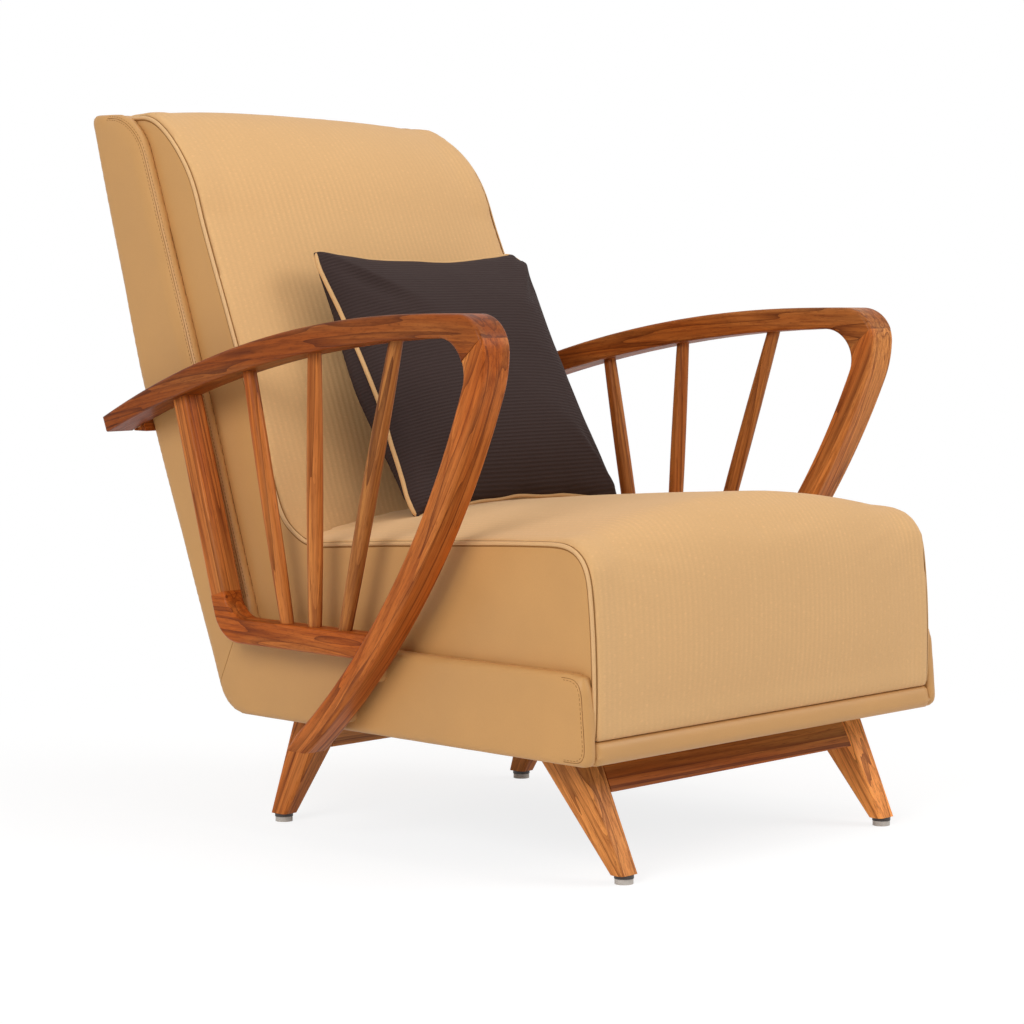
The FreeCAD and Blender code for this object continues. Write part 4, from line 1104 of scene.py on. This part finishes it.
class CHAIR_OT_scatter_cushion(bpy.types.Operator):
    """Stuff the scatter cushion and lay the piping round its seam"""
    bl_idname = "chair.scatter_cushion"
    bl_label = "Scatter cushion"

    def execute(self, context):
        sizes = context.scene.chair_sizes
        colours = context.scene.chair_colours
        piece = pad_block("scatter_cushion_cover", 0.0045, "scatter_cushion")
        back = CUSHION_TURN.transposed()
        inside = np.array([back @ Vector(p) for p in spots(piece.data)])
        centre = CUSHION_TURN @ Vector((inside.min(0) + inside.max(0)) / 2)

        def held(place, normal):
            local = back @ (place - centre)
            rim = 1 - ramp(abs(local.y), 0.004, 0.03)
            behind = ramp((back @ normal).y, 0.0, 0.3)
            return max(rim, behind)

        stuff(piece, held, 0.004, 0.012, sizes.pressure)
        soften(piece, 5)
        self.draw_to_seam(piece, back, centre)
        self.crumple(piece, back, centre)
        refine(piece)
        # The brown cloth's rib valleys carry stronger painted shade.
        weave = ribbed_cloth(
            "ribbed_brown_cloth", colours.cushion, sizes.cushion_rib, 0.02, 0.00042,
            turn=(Matrix.Rotation(math.radians(90), 3, "Y") @ back).to_euler(), valley_shade=0.8, sheen=0.0,
        )
        dress(piece, weave)
        belongs(piece, "cushion", "brown_weave", "scatter_cushion")
        rim = cut_path(piece, centre, CUSHION_TURN @ Vector((0, 1, 0)), lambda place, normal: True)
        path = calm_path(even_path(rim, 0.005, closed=True), 3, closed=True)
        piping = cord_mesh(
            "cushion_piping", path, sizes.piping, thread("piping_cloth", colours.piping), closed=True, sides=3
        )
        belongs(piping, "cushion", "tan_cover")
        return {"FINISHED"}

    def draw_to_seam(self, piece, back, centre):
        """Draws the cover out to its seam, which bows in between the corners; the rear half stays full."""
        places = spots(piece.data)
        turn = np.array(back)
        local = (places - np.array(centre)) @ turn.T
        angle = np.arctan2(local[:, 2], local[:, 0])
        share = np.hypot(local[:, 0], local[:, 2]) / cushion_seam(angle)
        marks = np.linspace(-np.pi, np.pi, 121)
        widest = np.zeros(120)
        np.maximum.at(widest, np.clip(np.digitize(angle, marks) - 1, 0, 119), share)
        edge = np.interp(angle, (marks[:-1] + marks[1:]) / 2, widest, period=2 * np.pi)
        waver = np.array([noise.noise(Vector((3.4 * math.cos(a), 3.4 * math.sin(a), 2.0))) for a in angle])
        near = np.clip((share / edge - 0.6) / 0.4, 0, 1) ** 2
        grow = 1 + ((1 + CUSHION_WAVER * waver) / edge - 1) * near
        local[:, 0] *= grow
        local[:, 2] *= grow
        beside = np.clip((np.abs(np.cos(angle)) - 0.72) / 0.28, 0, 1)
        behind = np.clip((local[:, 1] - 0.002) / 0.02, 0, 1) * np.clip((0.062 - local[:, 1]) / 0.03, 0, 1)
        local[:, 0] += np.sign(local[:, 0]) * CUSHION_SWELL * beside * behind * near
        put_spots(piece.data, local @ turn + np.array(centre))

    def crumple(self, piece, back, centre):
        """Slack dents on the front and folds beside its corners, which fade toward the seam."""
        def move(place, normal):
            local = back @ (place - centre)
            front = ramp(-local.y, 0.006, 0.03)
            dent = noise.noise(Vector((local.x * 9, 0, local.z * 13))) - 0.3
            across = (abs(local.x) - abs(local.z) - 0.018) / 0.014
            corner = math.exp(-across * across) * ramp(abs(local.x) + abs(local.z), 0.17, 0.25)
            depth = 0.003 * max(dent, -0.3) + 0.005 * corner
            return CUSHION_TURN @ Vector((0, depth * front, 0))

        shift_spots(piece, move)


class CHAIR_OT_teak(bpy.types.Operator):
    """Finish the teak of the arm frames and the base, each piece with the grain along it"""
    bl_idname = "chair.teak"
    bl_label = "Teak"

    def execute(self, context):
        colours = context.scene.chair_colours
        # Grain direction, set-off of the pith, wave and bow of the grain, tone and paleness left and right
        boards = {
            "arm": ((0, 1, -0.1), (0.0, 0.09), 1.0, -0.2, (0.66, 0.8), (-0.15, 0.0)),
            "brace": ((0, 0.58, -0.81), (0.07, 0.01), 1.5, 0.42, (1.08, 1.2), (-0.04, 0.15)),
            "rear_post": ((0, 0.31, 0.95), (0.05, 0.05), 1.2, 0.0, (1.1, 1.1), (0.0, 0.0)),
            "lower_rail": ((0, 1, 0), (0.02, 0.06), 1.8, 0.0, (1.05, 1.05), (-0.2, -0.1)),
            "front_leg": ((0, 0.55, 0.83), (0.04, 0.05), 1.6, 0.0, (1.32, 1.9), (0.25, 1.0)),
            "rear_leg": ((0, -0.45, 0.89), (0.05, 0.04), 1.6, 0.0, (1.25, 1.15), (0.03, 0.05)),
        }
        for i, (kind, (axis, pith, wave, bow, tones, pales)) in enumerate(boards.items()):
            for (name, side), tone, pale in zip(SIDES.items(), tones, pales):
                offset = (side * pith[0], 0.61 * i + 0.23 * side, pith[1])
                node = kind + "_" + name
                finish(node, teak(node, axis, offset, colours, warp=wave, bright=tone, pale=pale, bow=bow))
        leans = ((0, -0.096, 0.33), (0, -0.011, 0.33), (0, 0.055, 0.33))
        tones = {"left": (0.74, 1.08, 1.08), "right": (0.86, 0.9, 0.9)}
        for name, side in SIDES.items():
            for number, (lean, tone) in enumerate(zip(leans, tones[name]), 1):
                node = "spindle_%s_%d" % (name, number)
                offset = (0.03 * side, 0.31 * number + side, 0.03)
                finish(node, teak(node, lean, offset, colours, rings=220.0, warp=1.0, bright=tone, pale=0.05))
        crosswise = ("cross_rail", "front_base_rail", "rear_base_rail", "front_bearer", "rear_bearer")
        for i, node in enumerate(crosswise):
            finish(node, teak(node, (1, 0, 0), (0.02, 0.43 * i, 0.07), colours, bright=1.1))
        return {"FINISHED"}


def finish(node, material):
    """Gives a solid its material."""
    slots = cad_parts[node].data.materials
    slots.clear()
    slots.append(material)


class CHAIR_OT_inner_frame(bpy.types.Operator):
    """Finish the hidden frame, its straps and the dust cloth"""
    bl_idname = "chair.inner_frame"
    bl_label = "Inner frame"

    def execute(self, context):
        colours = context.scene.chair_colours
        across = plain_wood("frame_wood_across", (1, 0, 0), colours.frame_wood)
        along = plain_wood("frame_wood_along", (0, 1, 0), colours.frame_wood)
        upright = plain_wood("frame_wood_upright", (0, 0.37, 0.93), colours.frame_wood)
        for node in ("back_top_rail", "lumbar_rail", "seat_front_rail", "seat_rear_rail", "arm_dowels"):
            finish(node, across)
        for node in ("seat_side_rail_left", "seat_side_rail_right", "seat_corner_blocks"):
            finish(node, along)
        for node in ("back_stile_left", "back_stile_right"):
            finish(node, upright)
        for node in ("seat_webbing", "back_webbing"):
            finish(node, strap_weave("elastic_webbing", colours.webbing, 0.0025))
        finish("dust_cover", strap_weave("dust_cloth", colours.dust_cloth, 0.0015))
        return {"FINISHED"}


class CHAIR_OT_fittings(bpy.types.Operator):
    """Finish the bolts, studs, screws and foot glides"""
    bl_idname = "chair.fittings"
    bl_label = "Fittings"

    def execute(self, context):
        steel = bare_metal("zinc_steel", (0.62, 0.62, 0.6))
        for node in ("arm_bolts", "cross_rail_screws", "leg_studs", "leg_nuts"):
            finish(node, steel)
        finish("arm_spacers", moulded("tan_sleeve", (0.5, 0.26, 0.09), 0.6))
        finish("glide_cups", moulded("dark_glide_cup", (0.045, 0.035, 0.03), 0.45))
        finish("glide_pads", moulded("pale_glide_pad", (0.55, 0.5, 0.45), 0.6))
        return {"FINISHED"}


class CHAIR_OT_stage(bpy.types.Operator):
    """Lay the white floor, hang the lamps and set up the camera"""
    bl_idname = "chair.stage"
    bl_label = "Stage"

    def execute(self, context):
        self.floor()
        self.world(context)
        self.lamp("key_lamp", (2.3, -2.9, 2.6), (0.0, 0.0, 0.45), 2.6, 62)
        self.lamp("side_lamp", (-3.0, -1.0, 1.9), (0.0, 0.0, 0.4), 1.6, 52)
        self.lamp("top_lamp", (0.0, -0.3, 3.4), (0.0, 0.0, 0.0), 2.6, 24)
        self.camera(context)
        return {"FINISHED"}

    def floor(self):
        bm = bmesh.new()
        bmesh.ops.create_circle(bm, cap_ends=True, segments=96, radius=9.0)
        material, tree, shader = new_material("white_floor")
        tree.nodes.remove(shader)
        out = tree.nodes["Material Output"]
        matt = tree.nodes.new("ShaderNodeBsdfDiffuse")
        matt.inputs["Color"].default_value = (0.88, 0.88, 0.88, 1)
        shadow = tree.nodes.new("ShaderNodeBsdfDiffuse")
        shadow.inputs["Color"].default_value = (0.25, 0.25, 0.25, 1)
        lift = tree.nodes.new("ShaderNodeEmission")
        lift.inputs["Strength"].default_value = 0.82
        lifted = tree.nodes.new("ShaderNodeAddShader")
        white = tree.nodes.new("ShaderNodeEmission")
        white.inputs["Strength"].default_value = 1.0
        far = tree.nodes.new("ShaderNodeVectorMath")
        far.operation = "LENGTH"
        feed(tree, place_node(tree), far.inputs[0])
        near_far = tree.nodes.new("ShaderNodeMixShader")
        feed(tree, spread(tree, far.outputs["Value"], 0.6, 1.3), near_far.inputs[0])
        feed(tree, shadow.outputs[0], lifted.inputs[0])
        feed(tree, lift.outputs[0], lifted.inputs[1])
        feed(tree, lifted.outputs[0], near_far.inputs[1])
        feed(tree, white.outputs[0], near_far.inputs[2])
        seen = tree.nodes.new("ShaderNodeMixShader")
        feed(tree, self.seen_rays(tree), seen.inputs[0])
        feed(tree, matt.outputs[0], seen.inputs[1])
        feed(tree, near_far.outputs[0], seen.inputs[2])
        feed(tree, seen.outputs[0], out.inputs[0])
        piece_from("floor", bm, material, smooth=False)

    def seen_rays(self, tree):
        """1 for rays from the camera, and for those seen in gloss or glass."""
        path = tree.nodes.new("ShaderNodeLightPath")
        gloss = calc(tree, "MAXIMUM", path.outputs["Is Glossy Ray"], path.outputs["Is Transmission Ray"])
        return calc(tree, "MAXIMUM", path.outputs["Is Camera Ray"], gloss)

    def world(self, context):
        world = bpy.data.worlds.new("white_room")
        context.scene.world = world
        world.use_nodes = True
        tree = world.node_tree
        soft = tree.nodes["Background"]
        soft.inputs["Color"].default_value = (1, 1, 1, 1)
        soft.inputs["Strength"].default_value = 0.38
        white = tree.nodes.new("ShaderNodeBackground")
        white.inputs["Strength"].default_value = 1.0
        white.inputs["Color"].default_value = (1, 1, 1, 1)
        pick = tree.nodes.new("ShaderNodeMixShader")
        feed(tree, self.seen_rays(tree), pick.inputs[0])
        feed(tree, soft.outputs[0], pick.inputs[1])
        feed(tree, white.outputs[0], pick.inputs[2])
        feed(tree, pick.outputs[0], tree.nodes["World Output"].inputs[0])

    def lamp(self, name, place, target, size, power):
        light = bpy.data.lights.new(name, "AREA")
        light.shape = "DISK"
        light.size = size
        light.energy = power
        lamp = bpy.data.objects.new(name, light)
        lamp.location = place
        lamp.rotation_euler = (Vector(target) - Vector(place)).to_track_quat("-Z", "Y").to_euler()
        bpy.context.scene.collection.objects.link(lamp)

    def camera(self, context):
        lens = bpy.data.cameras.new("camera")
        lens.sensor_width = 36.0
        lens.lens = 108.55
        camera = bpy.data.objects.new("camera", lens)
        camera.location = (-2.7310, -2.50623, 0.6484)
        heading = Matrix.Rotation(math.radians(-47.78), 3, "Z")
        pitch = Matrix.Rotation(math.radians(90 - 4.377), 3, "X")
        roll = Matrix.Rotation(math.radians(-0.137), 3, "Z")
        camera.rotation_euler = (heading @ pitch @ roll).to_euler()
        context.scene.collection.objects.link(camera)
        context.scene.camera = camera
        context.scene.view_settings.view_transform = "Standard"


OPERATORS = (
    CHAIR_OT_stage,
    CHAIR_OT_seat_cushion,
    CHAIR_OT_back_cushion,
    CHAIR_OT_side_panels,
    CHAIR_OT_tub_sides,
    CHAIR_OT_tub_back,
    CHAIR_OT_scatter_cushion,
    CHAIR_OT_teak,
    CHAIR_OT_inner_frame,
    CHAIR_OT_fittings,
)


class CHAIR_PT_panel(bpy.types.Panel):
    """Sizes, colours and steps of the lounge chair"""
    bl_idname = "CHAIR_PT_panel"
    bl_label = "Lounge chair"
    bl_space_type = "VIEW_3D"
    bl_region_type = "UI"
    bl_category = "Lounge chair"

    def draw(self, context):
        for group in (context.scene.chair_sizes, context.scene.chair_colours):
            box = self.layout.box()
            for name in group.__annotations__:
                box.prop(group, name)
        for operator in OPERATORS:
            self.layout.operator(operator.bl_idname)


CLASSES = (ChairSizes, ChairColours, *OPERATORS, CHAIR_PT_panel)


def register():
    for made in CLASSES:
        bpy.utils.register_class(made)
    bpy.types.Scene.chair_sizes = PointerProperty(type=ChairSizes)
    bpy.types.Scene.chair_colours = PointerProperty(type=ChairColours)


def unregister():
    del bpy.types.Scene.chair_colours
    del bpy.types.Scene.chair_sizes
    for made in reversed(CLASSES):
        bpy.utils.unregister_class(made)


def main():
    register()
    bpy.ops.chair.stage()
    bpy.ops.chair.seat_cushion()
    bpy.ops.chair.back_cushion()
    bpy.ops.chair.side_panels()
    bpy.ops.chair.tub_sides()
    bpy.ops.chair.tub_back()
    bpy.ops.chair.scatter_cushion()
    bpy.ops.chair.teak()
    bpy.ops.chair.inner_frame()
    bpy.ops.chair.fittings()


if __name__ == "__main__":
    main()
